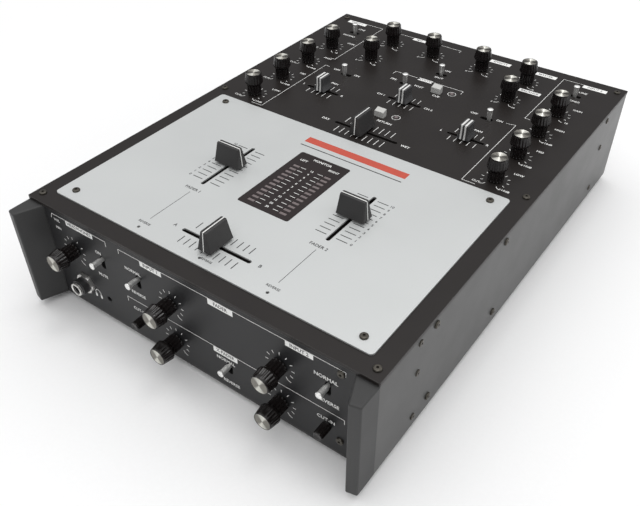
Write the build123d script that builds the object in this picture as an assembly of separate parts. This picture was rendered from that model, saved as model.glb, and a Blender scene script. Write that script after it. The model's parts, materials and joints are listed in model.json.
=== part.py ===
from build123d import *
import os

# A two-channel mixing console for disc jockeys: a folded steel case with a black top plate, a pale
# fader plate, a front control panel between two corner guards, and every knob, fader and switch loose.
# X points right, Y to the back, Z up. The origin is on the table under the middle of the overall box.

# ---- overall sizes, mm ----
width = 254.0                # across the top plate and the guards
top_depth = 345.5            # top plate, front edge to rear edge
body_height = 73.0           # underside of the tray to the top plate's face
foot_height = 4.0
guard_reach = 16.5           # corner guards, past the top plate's front edge
rear_reach = 8.0             # rear sockets, past the rear panel

# ---- case ----
sheet = 1.2                  # folded steel
top_thickness = 2.0
fader_plate_thickness = 1.0
shadow_gap = 0.8             # under the top plate's edge, all round
plate_corner = 1.0
side_inset = 0.3             # side walls, inside the top plate's edge
panel_inset = 0.6            # front panel face, behind the top plate's front edge
flange = 12.0                # folded edges that take the screws
flange_gap = 0.25            # between a panel's flange and the plate or wall next to it
guard_back = 13.5            # guard, across its back
guard_tip = 6.5              # guard, across its front
guard_slant = 1.5            # outer corner of the guard's front face, behind its inner corner
guard_edge = 1.0
fader_plate_side = 11.7      # fader plate to the top plate's side edge
fader_plate_front = 11.7     # fader plate to the top plate's front edge
fader_plate_depth = 153.6
fader_plate_corner = 2.6

# ---- where the controls stand ----
outer_inset = 29.4           # outer knob columns, from the top plate's side edge
mid_column = 59.4            # distances from the centre line
inner_column = 21.6
rear_row = 30.9              # rearmost knob row, from the top plate's rear edge
row_pitch = 33.4
front_upper = 27.2           # front knob rows, below the top plate's face
front_lower = 56.6
front_phones = 92.8          # front panel columns, from the centre line
front_pair = 67.1            # right-hand knob pair
front_left_pair = 10.8       # left-hand knob pair
front_outer = 97.6
front_mute = 66.7
front_input = 36.5
lever_row = 24.6
jack_column = 89.4
jack_row = 52.4
trim_row = 53.2
cross_reverse_row = 54.2
cross_reverse_column = 30.4
panel_hole = (-69.5, 56.0)   # from the centre line, and below the top plate's face
panel_hole_radius = 1.9

# ---- knobs and potentiometers ----
knob_height = 17.0           # cap, above the panel
knob_gap = 0.6               # skirt, above the panel
knob_rim = 5.7               # radii from the cap down
knob_belly = 6.7
knob_skirt = 5.15
knob_chamfer = 0.8
belly_height = 10.2          # heights of the widest ring and of the step under it
step_height = 8.2
disc_recess = 0.35
disc_border = 0.6
pointer = 0.8                # pointer groove
shaft_radius = 3.0
shaft_gap = 0.06             # running clearance in the bushing
knob_bore_gap = 0.02
shaft_top = 13.5
bushing_radius = 3.5
hole_gap = 0.2               # round a bushing, stud or nut in its panel hole
pot_width = 9.8
pot_length = 11.4
pot_height = 7.0
pot_floor = 1.2
shaft_end_gap = 0.4
trim_radius = 3.0            # small cut-in knobs
trim_shaft = 1.5
trim_height = 9.5

# ---- slide switches ----
lever_radius = 1.4
lever_head_radius = 2.3
lever_head = 1.3
lever_height = 8.6
lever_travel = 2.4           # each way from the middle
lever_end_gap = 1.0
lever_slot_width = 3.6
switch_width = 6.4
switch_height = 6.0
switch_wall = 1.0
shoe_length = 4.0
shoe_gap = 0.4               # round the shoe in its housing

# ---- faders ----
fader_travel = 45.0
mini_travel = 22.0
stem_length = 4.0            # along the travel
stem_width = 1.2
slot_width = 2.8
slot_end_gap = 1.0
cap_long = 19.6              # across the travel, at the foot
cap_foot = 9.8               # along the travel, at the foot
cap_ridge = 4.2
cap_ridge_long = 17.6
cap_height = 14.3            # above the plate that the fader stands on
cap_lift = 1.3
mini_long = 11.4
mini_foot = 9.6
mini_ridge = 6.4
mini_ridge_long = 10.4
mini_height = 12.0
mini_neck = 0.5              # where the flare of a small cap starts, as a share of its height
mini_groove = 0.9
cap_edge = 0.35
socket_depth = 6.0           # stem into cap
track_height = 9.0
track_width = 11.0
track_wall = 1.2
track_end = 4.0
carriage_height = 4.0
carriage_gap = 0.5
rail_radius = 1.0
rail_gap = 0.08
line_fader_column = 47.6
line_fader_middle = 95.0     # from the top plate's front edge
cross_fader_row = 30.0
effect_fader_row = 182.0
side_mini_row = 214.8
centre_mini_row = 234.2
fader_1_rest = 2.2           # where the caps stand, from the middle of their travel
fader_2_rest = 1.7
effect_rest = -2.8

# ---- push buttons, lamps and meter ----
button_long = 7.4
button_wide = 4.6
button_height = 5.5
button_slope = 1.4
button_edge = 0.4
button_travel = 1.2
button_gap = 0.35
lamp_radius = 1.5
lamp_stand = 0.7
meter_half = 19.3
meter_front = 69.8
meter_depth = 66.1
meter_corner = 1.6
meter_gap = 0.15
bar_count = 12
bar_long = 4.8
bar_wide = 1.9
bar_column = 12.1
bar_first = 75.0             # lowest bar, from the top plate's front edge
bar_pitch = 4.1
bar_sink = 0.15              # bar face, below the window's face
pinhole_radius = 1.0
pinhole_row = 16.8

# ---- screws and feet ----
screw_head = 2.4
screw_dome = 1.2
screw_shank = 1.4
screw_length = 6.0
screw_hole_gap = 0.15
hex_across = 1.6
hex_depth = 0.8
small_head = 2.1
small_dome = 0.7
plate_screw_inset = 5.8
plate_screw_rows = (7.0, 174.5, top_depth - 7.5)      # from the top plate's front edge
fader_screw_inset = 10.0
fader_screw_end = 8.0
panel_screw_inset = 8.0
panel_screw_drops = (8.3, 61.0)  # below the top plate's face
side_screw_rows = (55.0, 137.0)
side_screw_drops = (7.0, 63.5)
small_screw_rows = (39.0, top_depth - 39.5)
small_screw_drops = (7.0, 29.2, 65.0)
rear_screw_inset = 9.0
rear_screw_rises = (12.0, 66.0)
foot_radius = 9.0
foot_taper = 1.0
foot_inset = 22.0

# ---- headphone socket ----
jack_radius = 3.25
jack_ring = 4.6
jack_thread = 5.6
jack_stand = 9.0
jack_ring_length = 2.6
jack_depth = 26.0
socket_floor = 1.0
nut_across = 13.6
nut_thickness = 2.2

# ---- rear panel parts ----
phono_radius = 4.15
phono_pin_bore = 1.6
phono_collar = 5.2           # insulating collar in the rear panel
phono_collar_stand = 0.8
phono_pitch = 14.0
phono_rise = 20.0            # lower row, above the table
phono_row_pitch = 18.0
phono_pairs = 6
phono_pair_pitch = 19.0
phono_first = 8.0            # first column, right of the centre line
socket_body = 15.0
inlet_wide = 28.0
inlet_high = 21.0
inlet_wall = 1.9
inlet_depth = 18.0
inlet_bezel = 2.4
inlet_x = -92.0
inlet_rise = 38.0
pin_wide = 4.0
pin_thick = 2.0
pin_side = 7.0
pin_drop = 2.2
earth_rise = 3.6
pin_length = 14.0
rocker_long = 19.0
rocker_wide = 12.0
rocker_tilt = 8.0            # each way
rocker_depth = 9.0
rocker_pin = 1.2
rocker_lip = 1.5             # ends of the rocker, above its middle
rocker_taper = 0.6
rocker_gap = 0.6
rocker_wall = 1.2
rocker_x = -58.0
out_jack_x = (-34.0, -14.0)

# ---- inside ----
board = 1.6
board_side = 12.0            # board edge, in from the top plate's edge
transformer = 42.0
pillar_radius = 3.0
base_board_rise = 8.0
base_board_front = 31.7      # main board, from the top plate's front edge
base_board_rear = 213.6
board_edge = 8.0             # pillars, in from the main board's edges
front_board_inset = 14.0
rear_board_gap = 2.0
board_clearance = 0.5        # round what passes through a board
foot_gap = 0.1

front_y = guard_reach - (guard_reach + top_depth + rear_reach) / 2
rear_y = front_y + top_depth
top_z = foot_height + body_height
under_z = top_z - top_thickness
panel_y = front_y + panel_inset
wall_x = width / 2 - side_inset
back_y = rear_y - panel_inset
outer_column = width / 2 - outer_inset
rows = [top_depth - rear_row - row_pitch * i for i in range(5)]
slot_lever = 2 * (lever_travel + lever_radius + lever_end_gap)

top_knobs = {
    "left_gain_knob": (-outer_column, rows[1]),
    "left_treble_knob": (-outer_column, rows[2]),
    "left_middle_knob": (-outer_column, rows[3]),
    "left_bass_knob": (-outer_column, rows[4]),
    "right_gain_knob": (outer_column, rows[1]),
    "right_treble_knob": (outer_column, rows[2]),
    "right_middle_knob": (outer_column, rows[3]),
    "right_bass_knob": (outer_column, rows[4]),
    "microphone_tone_knob": (-mid_column, rows[1]),
    "microphone_level_knob": (-mid_column, rows[0]),
    "effect_send_knob": (-inner_column, rows[0]),
    "effect_return_knob": (inner_column, rows[0]),
    "master_level_knob": (mid_column, rows[0]),
    "balance_knob": (mid_column, rows[1]),
}
front_knobs = {
    "headphone_level_knob": (-front_phones, front_upper),
    "input_1_curve_knob": (-front_left_pair, front_upper),
    "crossfader_curve_knob": (-front_left_pair, front_lower),
    "input_2_curve_knob": (front_pair, front_upper),
    "monitor_blend_knob": (front_pair, front_lower),
}
trim_knobs = {
    "input_1_cut_in_knob": (-front_input, trim_row),
    "input_2_cut_in_knob": (front_outer, trim_row),
}
# name: middle of the slot, and how far the lever stands from that middle
top_switches = {
    "left_input_switch": (-outer_column, rows[0], 0.4),
    "microphone_switch": (-mid_column, 245.6, -1.4),
    "effect_switch": (-14.6, 259.0, 0.0),
    "monitor_switch": (0.6, 288.6, 0.0),
    "loop_switch": (mid_column, 246.8, 1.8),
    "right_input_switch": (outer_column, rows[0], 0.0),
}
front_switches = {
    "mute_switch": (-front_mute, lever_row, lever_travel),
    "input_1_reverse_switch": (-front_input, lever_row, lever_travel),
    "crossfader_reverse_switch": (cross_reverse_column, cross_reverse_row, lever_travel),
    "input_2_reverse_switch": (front_outer, lever_row, lever_travel),
}
# name: middle of the slot, turn of the travel from X, rest place along the travel
big_faders = {
    "line_fader_1": (-line_fader_column, line_fader_middle, 90, fader_1_rest),
    "line_fader_2": (line_fader_column, line_fader_middle, 90, fader_2_rest),
    "crossfader": (0.0, cross_fader_row, 0, 0.0),
    "effect_fader": (0.0, effect_fader_row, 0, effect_rest),
}
mini_faders = {
    "pan_fader_1": (-mid_column, side_mini_row),
    "monitor_mix_fader": (-0.5, centre_mini_row),
    "pan_fader_2": (mid_column, side_mini_row),
}
buttons = {
    "monitor_button": (11.5, 261.3),
    "return_button": (-4.0, 207.3),
}
lamps = [(22.4, 264.8), (6.8, 211.2)]


def block(x0, x1, y0, y1, z0, z1):
    return Pos((x0 + x1) / 2, (y0 + y1) / 2, (z0 + z1) / 2) * Box(x1 - x0, y1 - y0, z1 - z0)


def rod(radius, z0, z1):
    return Pos(0, 0, (z0 + z1) / 2) * Cylinder(radius, z1 - z0)


def round_slot(length, wide, z0, z1):
    return Pos(0, 0, z0) * extrude(SlotOverall(length, wide), z1 - z0)


def on_top(x, v):
    """Place on the top plate: x from the centre line, v from the plate's front edge."""
    return Pos(x, front_y + v, top_z)


def on_front(x, drop):
    """Place on the front panel, with local Z out of the panel and local Y up."""
    return Pos(x, panel_y, top_z - drop) * Rot(90, 0, 0)


def on_rear(x, rise):
    """Place on the rear panel, with local Z out of the panel and local Y down."""
    return Pos(x, back_y, rise) * Rot(-90, 0, 0)


def on_side(side, v, drop):
    """Place on a side wall, with local Z out of the wall."""
    return Pos(side * wall_x, front_y + v, top_z - drop) * Rot(0, 90 * side, 0)


# ---- screw places ----
screw_x = width / 2 - plate_screw_inset
plate_screws = [on_top(side * screw_x, v) for side in (-1, 1) for v in plate_screw_rows]
fader_screw_x = width / 2 - fader_plate_side - fader_screw_inset
fader_plate_rear = fader_plate_front + fader_plate_depth
fader_screw_rows = (fader_plate_front + fader_screw_end, fader_plate_rear - fader_screw_end)
fader_screws = [on_top(side * fader_screw_x, v) for side in (-1, 1) for v in fader_screw_rows]
panel_screws = [on_front(width / 2 - guard_back - panel_screw_inset, drop) for drop in panel_screw_drops]
side_screws = [on_side(side, v, drop) for side in (-1, 1)
               for v in side_screw_rows for drop in side_screw_drops]
small_screws = [on_side(side, v, drop) for side in (-1, 1)
                for v in small_screw_rows for drop in small_screw_drops]
rear_screws = [on_rear(side * (wall_x - rear_screw_inset), rise) for side in (-1, 1)
               for rise in rear_screw_rises]


def machine_screw(head, dome, shank, grip):
    """Button head on a shank, with a hexagonal socket; the panel's face is z = 0."""
    screw = rod(head, 0, dome) + rod(shank, -grip, 0)
    screw = fillet(screw.edges().filter_by(GeomType.CIRCLE).sort_by(Axis.Z)[-1], dome * 0.7)
    return screw - Pos(0, 0, dome - hex_depth * dome) * extrude(RegularPolygon(hex_across / 2, 6), dome)


def screw_hole(depth):
    return rod(screw_shank + screw_hole_gap, -depth, depth)


def make_case_screws():
    """All the black machine screws of the case."""
    large = machine_screw(screw_head, screw_dome, screw_shank, screw_length)
    small = machine_screw(small_head, small_dome, screw_shank - screw_hole_gap, screw_length)
    raised = [place * Pos(0, 0, fader_plate_thickness) for place in fader_screws]
    large_places = plate_screws + raised + panel_screws + side_screws + rear_screws
    return [place * large for place in large_places] + [place * small for place in small_screws]


def make_base_tray():
    """Floor and two side walls in one fold, with the walls' top edges turned inwards."""
    wall_top = under_z - shadow_gap
    y0, y1 = panel_y, back_y
    tray = block(-wall_x, wall_x, y0, y1, foot_height, foot_height + sheet)
    for side in (-1, 1):
        outer, inner = side * wall_x, side * (wall_x - sheet)
        tray += block(min(outer, inner), max(outer, inner), y0, y1, foot_height, wall_top)
        lip = side * (wall_x - flange)
        tray += block(min(outer, lip), max(outer, lip), y0 + sheet + flange, y1 - sheet - flange,
                      wall_top - sheet, wall_top)
    for place in plate_screws:
        tray -= place * screw_hole(screw_length + top_thickness)
    for place in side_screws + small_screws:
        tray -= place * screw_hole(sheet * 2)
    for x, y in foot_places():
        tray -= Pos(x, y, foot_height) * screw_hole(sheet * 2)
    return tray


def foot_places():
    """The four feet, in from the case's corners."""
    x = wall_x - foot_inset
    return [(side * x, y) for side in (-1, 1) for y in (panel_y + foot_inset, back_y - foot_inset)]


def make_feet():
    """Turned rubber feet, each with a plug pressed into the floor."""
    foot = Cone(foot_radius - foot_taper, foot_radius, foot_height - foot_gap)
    foot = Pos(0, 0, (foot_height - foot_gap) / 2) * foot
    foot = fillet(foot.edges().sort_by(Axis.Z)[0], foot_taper)
    foot += rod(screw_shank, 0, foot_height + sheet)
    foot -= rod(foot_radius / 2, 0, foot_height / 3)
    return [Pos(x, y, 0) * foot for x, y in foot_places()]


def folded_panel(face_z0, face_z1, half, out):
    """Upright panel with its top and bottom edges turned inwards; out is -1 in front, 1 behind."""
    face = panel_y if out < 0 else back_y
    back, lip = face - out * sheet, face - out * (sheet + flange)
    panel = block(-half, half, min(face, back), max(face, back), face_z0, face_z1)
    panel += block(-half, half, min(face, lip), max(face, lip), face_z0, face_z0 + sheet)
    panel += block(-half, half, min(face, lip), max(face, lip), face_z1 - sheet, face_z1)
    return panel


def panel_span():
    """Lowest and highest edge and half width of a panel that stands in the tray."""
    low = foot_height + sheet + flange_gap
    high = under_z - shadow_gap
    return low, high, wall_x - sheet - flange_gap


def make_front_panel():
    """Front panel with the holes for its controls; it covers the tray's front edge."""
    low, high, half = panel_span()
    panel = folded_panel(low, high, half, -1)
    for x, drop in front_knobs.values():
        panel -= on_front(x, drop) * rod(bushing_radius + hole_gap, -sheet * 2, sheet)
    for x, drop in trim_knobs.values():
        panel -= on_front(x, drop) * rod(trim_shaft + hole_gap * 2, -sheet * 2, sheet)
    lever_slot = Rot(0, 0, 90) * round_slot(slot_lever, lever_slot_width, -sheet * 2, sheet)
    for x, drop, rest in front_switches.values():
        panel -= on_front(x, drop) * lever_slot
    panel -= on_front(-jack_column, jack_row) * rod(jack_thread + hole_gap, -sheet * 2, sheet)
    panel -= on_front(*panel_hole) * rod(panel_hole_radius, -sheet * 2, sheet)
    for place in panel_screws:
        panel -= place * screw_hole(sheet * 2)
    for place in plate_screws:
        panel -= place * screw_hole(screw_length + top_thickness)
    return panel


def make_rear_panel():
    """Rear panel with the holes for the sockets, the mains inlet and the rocker."""
    low, high, half = panel_span()
    panel = folded_panel(low, high, half, 1)
    for x, rise in phono_places():
        panel -= on_rear(x, rise) * rod(phono_collar + hole_gap, -sheet * 2, sheet)
    for x in out_jack_x:
        panel -= on_rear(x, phono_rise + phono_row_pitch) * rod(jack_thread + hole_gap, -sheet * 2, sheet)
    inlet = Box(inlet_wide + hole_gap * 2, inlet_high + hole_gap * 2, sheet * 4)
    panel -= on_rear(inlet_x, inlet_rise) * inlet
    rim = 2 * (rocker_wall + rocker_gap + hole_gap)
    housing = Box(rocker_wide + rim, rocker_long + rim, sheet * 4)
    panel -= on_rear(rocker_x, inlet_rise) * housing
    for place in rear_screws:
        panel -= place * screw_hole(sheet * 2)
    for place in plate_screws:
        panel -= place * screw_hole(screw_length + top_thickness)
    return panel


def make_corner_guard(side):
    """Wedge at a front corner, narrow at its tip, flush with the side wall and the floor."""
    high = under_z - shadow_gap / 2
    outer, back = width / 2, panel_y
    tip = front_y - guard_reach
    outline = [(outer, back), (outer, tip + guard_slant),
               (outer - guard_tip, tip), (outer - guard_back, back)]
    profile = make_face(Polyline(*[(side * x, y) for x, y in outline], close=True))
    guard = Pos(0, 0, foot_height) * extrude(profile, high - foot_height)
    edges = guard.edges().filter_by(lambda e: e.center().Y < back - panel_inset)
    return fillet(edges, guard_edge)


def fader_slot(travel, wide, z0, z1):
    return round_slot(travel + stem_length + 2 * slot_end_gap, wide, z0, z1)


def fader_place(name):
    x, v, turn, rest = big_faders[name]
    return on_top(x, v) * Rot(0, 0, turn)


def make_top_plate():
    """Black top plate with every opening that the controls pass through."""
    plate = block(-width / 2, width / 2, front_y, rear_y, under_z, top_z)
    plate = fillet(plate.edges().filter_by(Axis.Z), plate_corner)
    cut = top_thickness * 2
    for x, v in top_knobs.values():
        plate -= on_top(x, v) * rod(bushing_radius + hole_gap, -cut, cut)
    for x, v, rest in top_switches.values():
        plate -= on_top(x, v) * round_slot(slot_lever, lever_slot_width, -cut, cut)
    for name in big_faders:
        plate -= fader_place(name) * fader_slot(fader_travel, slot_width, -cut, cut)
    for x, v in mini_faders.values():
        plate -= on_top(x, v) * fader_slot(mini_travel, slot_width, -cut, cut)
    for x, v in buttons.values():
        plate -= on_top(x, v) * Box(button_long + 2 * button_gap, button_wide + 2 * button_gap, cut * 2)
    for x, v in lamps:
        plate -= on_top(x, v) * rod(lamp_radius + hole_gap, -cut, cut)
    for place in bar_places():
        plate -= place * Box(bar_long + 2 * meter_gap, bar_wide + 2 * meter_gap, cut * 2)
    for place in plate_screws + fader_screws:
        plate -= place * screw_hole(cut)
    return plate


def meter_middle():
    return on_top(0, meter_front + meter_depth / 2)


def make_fader_plate():
    """Pale plate on the top plate, with round corners, fader slots and the meter's opening."""
    half = width / 2 - fader_plate_side
    middle = on_top(0, fader_plate_front + fader_plate_depth / 2)
    outline = RectangleRounded(half * 2, fader_plate_depth, fader_plate_corner)
    plate = middle * extrude(outline, fader_plate_thickness)
    cut = fader_plate_thickness * 2
    for name in ("line_fader_1", "line_fader_2", "crossfader"):
        plate -= fader_place(name) * fader_slot(fader_travel, slot_width, -cut, cut)
    opening = RectangleRounded(meter_half * 2, meter_depth, meter_corner)
    plate -= meter_middle() * Pos(0, 0, -cut) * extrude(opening, cut * 2)
    for x in (-line_fader_column, 0, line_fader_column):
        plate -= on_top(x, pinhole_row) * rod(pinhole_radius, -cut, cut)
    for place in fader_screws:
        plate -= place * screw_hole(cut)
    return plate


def bar_places():
    """Both columns of the level meter's bars."""
    return [on_top(side * bar_column, bar_first + bar_pitch * i)
            for side in (-1, 1) for i in range(bar_count)]


def make_meter_window():
    """Dark window let into the fader plate, open over each bar."""
    size = RectangleRounded(2 * (meter_half - meter_gap), meter_depth - 2 * meter_gap, meter_corner)
    window = meter_middle() * extrude(size, fader_plate_thickness)
    for place in bar_places():
        window -= place * Box(bar_long + 2 * meter_gap, bar_wide + 2 * meter_gap, top_thickness * 2)
    return window


def make_lamps():
    """The meter's bars, and the two round lamps beside the push buttons."""
    bar_top = fader_plate_thickness - bar_sink
    bar = Pos(0, 0, (bar_top - 2 * top_thickness) / 2) * Box(bar_long, bar_wide, bar_top + 2 * top_thickness)
    lamp = rod(lamp_radius, -2 * top_thickness, lamp_stand)
    lamp = fillet(lamp.edges().sort_by(Axis.Z)[-1], lamp_stand * 0.8)
    return [place * bar for place in bar_places()] + [on_top(x, v) * lamp for x, v in lamps]


def potentiometer(panel):
    """Square body under the panel with a round bushing in its hole; the panel's face is z = 0."""
    low = -panel - pot_height
    body = block(-pot_width / 2, pot_width / 2, -pot_length / 2, pot_length / 2, low, -panel)
    body += rod(bushing_radius, -panel, 0)
    return body - rod(shaft_radius + shaft_gap, low + pot_floor, 1)


def make_potentiometers():
    top_pot, front_pot, trim_pot = potentiometer(top_thickness), potentiometer(sheet), trimmer()
    pots = [on_top(x, v) * top_pot for x, v in top_knobs.values()]
    pots += [on_front(x, drop) * front_pot for x, drop in front_knobs.values()]
    return pots + [on_front(x, drop) * trim_pot for x, drop in trim_knobs.values()]


def knob():
    """Turned knob: recessed cap, ribbed belly, step, and a slimmer skirt with a pointer groove."""
    rim = knob_height - knob_chamfer
    outline = Polyline((0, knob_gap), (knob_skirt, knob_gap), (knob_skirt, step_height),
                       (knob_belly, belly_height), (knob_rim + knob_chamfer / 2, rim),
                       (knob_rim, knob_height), (knob_rim - disc_border, knob_height),
                       (knob_rim - disc_border, knob_height - disc_recess),
                       (0, knob_height - disc_recess), close=True)
    body = revolve(Plane.XZ * make_face(outline), Axis.Z)
    body -= rod(shaft_radius + knob_bore_gap, 0, shaft_top)
    groove = block(-pointer / 2, pointer / 2, knob_rim, knob_belly + 1, step_height, knob_height + 1)
    return body - groove


def knob_and_shaft(place, panel):
    """A knob and the shaft that it is pressed on."""
    low = -panel - pot_height + pot_floor + shaft_end_gap
    return [place * knob(), place * rod(shaft_radius, low, shaft_top)]


def trimmer():
    """Small potentiometer behind the front panel."""
    low = -sheet - pot_height
    body = block(-pot_width / 2, pot_width / 2, -pot_width / 2, pot_width / 2, low, -sheet - flange_gap)
    return body - rod(trim_shaft + shaft_gap, low + pot_floor, 0)


def trim_knob(place):
    """Slim knob with a screwdriver slot, on its own shaft."""
    low = -sheet - pot_height + pot_floor + shaft_end_gap
    cap = chamfer(rod(trim_radius, knob_gap, trim_height).edges().sort_by(Axis.Z)[-1], knob_chamfer / 2)
    cap -= rod(trim_shaft + knob_bore_gap, 0, trim_height / 2)
    cap -= Pos(0, 0, trim_height) * Box(trim_radius * 2, knob_chamfer, knob_chamfer)
    return [place * cap, place * rod(trim_shaft, low, trim_height / 2)]


def switch_shoe():
    """Half sizes of the sliding shoe at a lever's foot."""
    return shoe_length / 2, switch_width / 2 - switch_wall - shoe_gap


def switch_housing(panel):
    """Open box under the panel that the shoe slides in; panel is the panel's thickness."""
    half_x, half_y = switch_shoe()
    inner = half_x + lever_travel + shoe_gap
    low = -panel - flange_gap - switch_height
    box = block(-inner - switch_wall, inner + switch_wall, -switch_width / 2, switch_width / 2,
                low, -panel - flange_gap)
    return box - block(-inner, inner, -half_y - shoe_gap, half_y + shoe_gap, low + switch_wall, 0)


def lever(panel):
    """Round lever with a mushroom head, and its shoe."""
    half_x, half_y = switch_shoe()
    low = -panel - flange_gap - switch_height + switch_wall + shoe_gap
    shoe = block(-half_x, half_x, -half_y, half_y, low, -panel - flange_gap - shoe_gap)
    head = rod(lever_head_radius, lever_height - lever_head, lever_height)
    head = fillet(head.edges().sort_by(Axis.Z)[-1], lever_head * 0.7)
    return shoe + rod(lever_radius, low, lever_height - lever_head / 2) + head


def button_housing():
    """Open box under the top plate that a push button's plunger slides in."""
    x, y = button_long / 2 + button_gap, button_wide / 2 + button_gap
    low = -top_thickness - pot_height
    box = block(-x - switch_wall, x + switch_wall, -y - switch_wall, y + switch_wall, low, -top_thickness)
    return box - block(-x, x, -y, y, low + switch_wall, 0)


def make_switch_bodies():
    top_box, front_box = switch_housing(top_thickness), switch_housing(sheet)
    bodies = [on_top(x, v) * top_box for x, v, rest in top_switches.values()]
    bodies += [on_front(x, drop) * Rot(0, 0, 90) * front_box for x, drop, rest in front_switches.values()]
    return bodies + [on_top(x, v) * button_housing() for x, v in buttons.values()]


def push_button(place):
    """Block with a sloping top on a square plunger."""
    half_x, half_y = button_long / 2, button_wide / 2
    low = -top_thickness - pot_height + switch_wall + button_travel + button_gap
    side = Polyline((-half_y, low), (half_y, low), (half_y, button_height),
                    (-half_y, button_height - button_slope), close=True)
    body = extrude(Plane.YZ * make_face(side), half_x, both=True)
    top_edges = body.edges().filter_by(lambda e: e.center().Z > button_height - button_slope)
    return place * chamfer(top_edges, button_edge)


def track_half(travel):
    """Half the length of a fader's channel."""
    return (travel + stem_length) / 2 + slot_end_gap + track_end


def track(travel, plate):
    """Steel channel under a fader's slot with a rail along it; plate is the thickness above it."""
    half = track_half(travel)
    low = -plate - track_height
    box = block(-half, half, -track_width / 2, track_width / 2, low, -plate)
    inner, inner_y = half - track_wall, track_width / 2 - track_wall
    box -= block(-inner, inner, -inner_y, inner_y, low + track_wall, 0)
    rail = Pos(0, 0, -plate - track_height / 2) * Rot(0, 90, 0) * Cylinder(rail_radius, 2 * inner)
    return box + rail


def carriage(plate, lift):
    """Block that runs on the rail, and the stem that carries the cap; lift is the cap's foot."""
    middle = -plate - track_height / 2
    half_y = track_width / 2 - track_wall - carriage_gap
    body = block(-stem_length / 2, stem_length / 2, -half_y, half_y,
                 middle - carriage_height / 2, middle + carriage_height / 2)
    body -= Pos(0, 0, middle) * Rot(0, 90, 0) * Cylinder(rail_radius + rail_gap, stem_length * 2)
    stem = block(-stem_length / 2, stem_length / 2, -stem_width / 2, stem_width / 2,
                 middle + carriage_height / 2, lift + socket_depth)
    return body + stem


def wedge(long0, foot, long1, ridge, z0, z1):
    """Straight-sided block from a foot to a narrower top."""
    low = Pos(0, 0, z0) * Rectangle(foot, long0)
    high = Pos(0, 0, z1) * Rectangle(ridge, long1)
    return loft([low.face(), high.face()])


def stem_socket(lift):
    return block(-stem_length / 2, stem_length / 2, -stem_width / 2, stem_width / 2, 0, lift + socket_depth)


def big_cap():
    """Wedge-shaped fader cap with a groove for the white line; the plate it stands on is z = 0."""
    cap = wedge(cap_long, cap_foot, cap_ridge_long, cap_ridge, cap_lift, cap_height)
    return chamfer(cap.edges(), cap_edge) - stem_socket(cap_lift)


def mini_cap():
    """Upright fader cap that flares towards its foot."""
    neck = mini_height * mini_neck
    upper = wedge(mini_ridge_long, mini_ridge, mini_ridge_long, mini_ridge, neck, mini_height)
    lower = wedge(mini_long, mini_foot, mini_ridge_long, mini_ridge, cap_lift, neck)
    groove = Pos(0, 0, mini_height) * Box(mini_groove, mini_ridge_long * 2, mini_groove)
    return upper + lower - groove - stem_socket(cap_lift)


def fader_caps():
    """Each fader's cap with its carriage, at its rest place."""
    parts = {}
    for name, (x, v, turn, rest) in big_faders.items():
        lift = 0 if name == "effect_fader" else fader_plate_thickness
        place = fader_place(name) * Pos(rest, 0, 0)
        parts[name + "_cap"] = [place * Pos(0, 0, lift) * big_cap(),
                                place * carriage(top_thickness, cap_lift + lift)]
    for name, (x, v) in mini_faders.items():
        place = on_top(x, v)
        parts[name + "_cap"] = [place * mini_cap(), place * carriage(top_thickness, cap_lift)]
    return parts


def make_fader_tracks():
    tracks = [fader_place(name) * track(fader_travel, top_thickness) for name in big_faders]
    return tracks + [on_top(x, v) * track(mini_travel, top_thickness) for x, v in mini_faders.values()]


def hexagon_nut():
    return extrude(RegularPolygon(nut_across / 2, 6, major_radius=False), nut_thickness)


def jack_socket():
    """Socket for a 6.35 mm plug: threaded barrel, plain ring at the mouth and hexagonal nut."""
    barrel = rod(jack_thread, -jack_depth, jack_stand - jack_ring_length)
    barrel += rod(jack_ring, jack_stand - jack_ring_length, jack_stand)
    barrel += block(-socket_body / 2, socket_body / 2, -socket_body / 2, socket_body / 2, -jack_depth, -sheet)
    barrel -= rod(jack_radius, socket_floor - jack_depth, jack_stand)
    return [barrel, hexagon_nut() - rod(jack_thread, 0, jack_stand)]


def make_headphone_socket():
    place = on_front(-jack_column, jack_row)
    return [place * solid for solid in jack_socket()]


def phono_places():
    """Two rows of phono sockets, left channel above right."""
    return [(phono_first + phono_pair_pitch * i, phono_rise + phono_row_pitch * row)
            for i in range(phono_pairs) for row in (0, 1)]


def phono_socket():
    """Metal barrel in an insulating collar, on a square plastic body."""
    body = rod(phono_radius, 0, rear_reach + panel_inset) + rod(phono_collar, -sheet, phono_collar_stand)
    body += block(-phono_pitch / 2, phono_pitch / 2, -phono_pitch / 2, phono_pitch / 2, -socket_body, -sheet)
    return body - rod(phono_pin_bore, -socket_body / 2, rear_reach + panel_inset)


def rear_jack():
    """Socket for a 6.35 mm plug with a flush nut."""
    barrel = rod(jack_thread, -jack_depth, jack_ring_length)
    barrel += block(-socket_body / 2, socket_body / 2, -socket_body / 2, socket_body / 2, -jack_depth, -sheet)
    nut = hexagon_nut() - rod(jack_thread, 0, nut_thickness)
    return [barrel - rod(jack_radius, socket_floor - jack_depth, rear_reach), nut]


def make_rear_sockets():
    socket = phono_socket()
    solids = [on_rear(x, rise) * socket for x, rise in phono_places()]
    for x in out_jack_x:
        solids += [on_rear(x, phono_rise + phono_row_pitch) * solid for solid in rear_jack()]
    return solids


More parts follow.
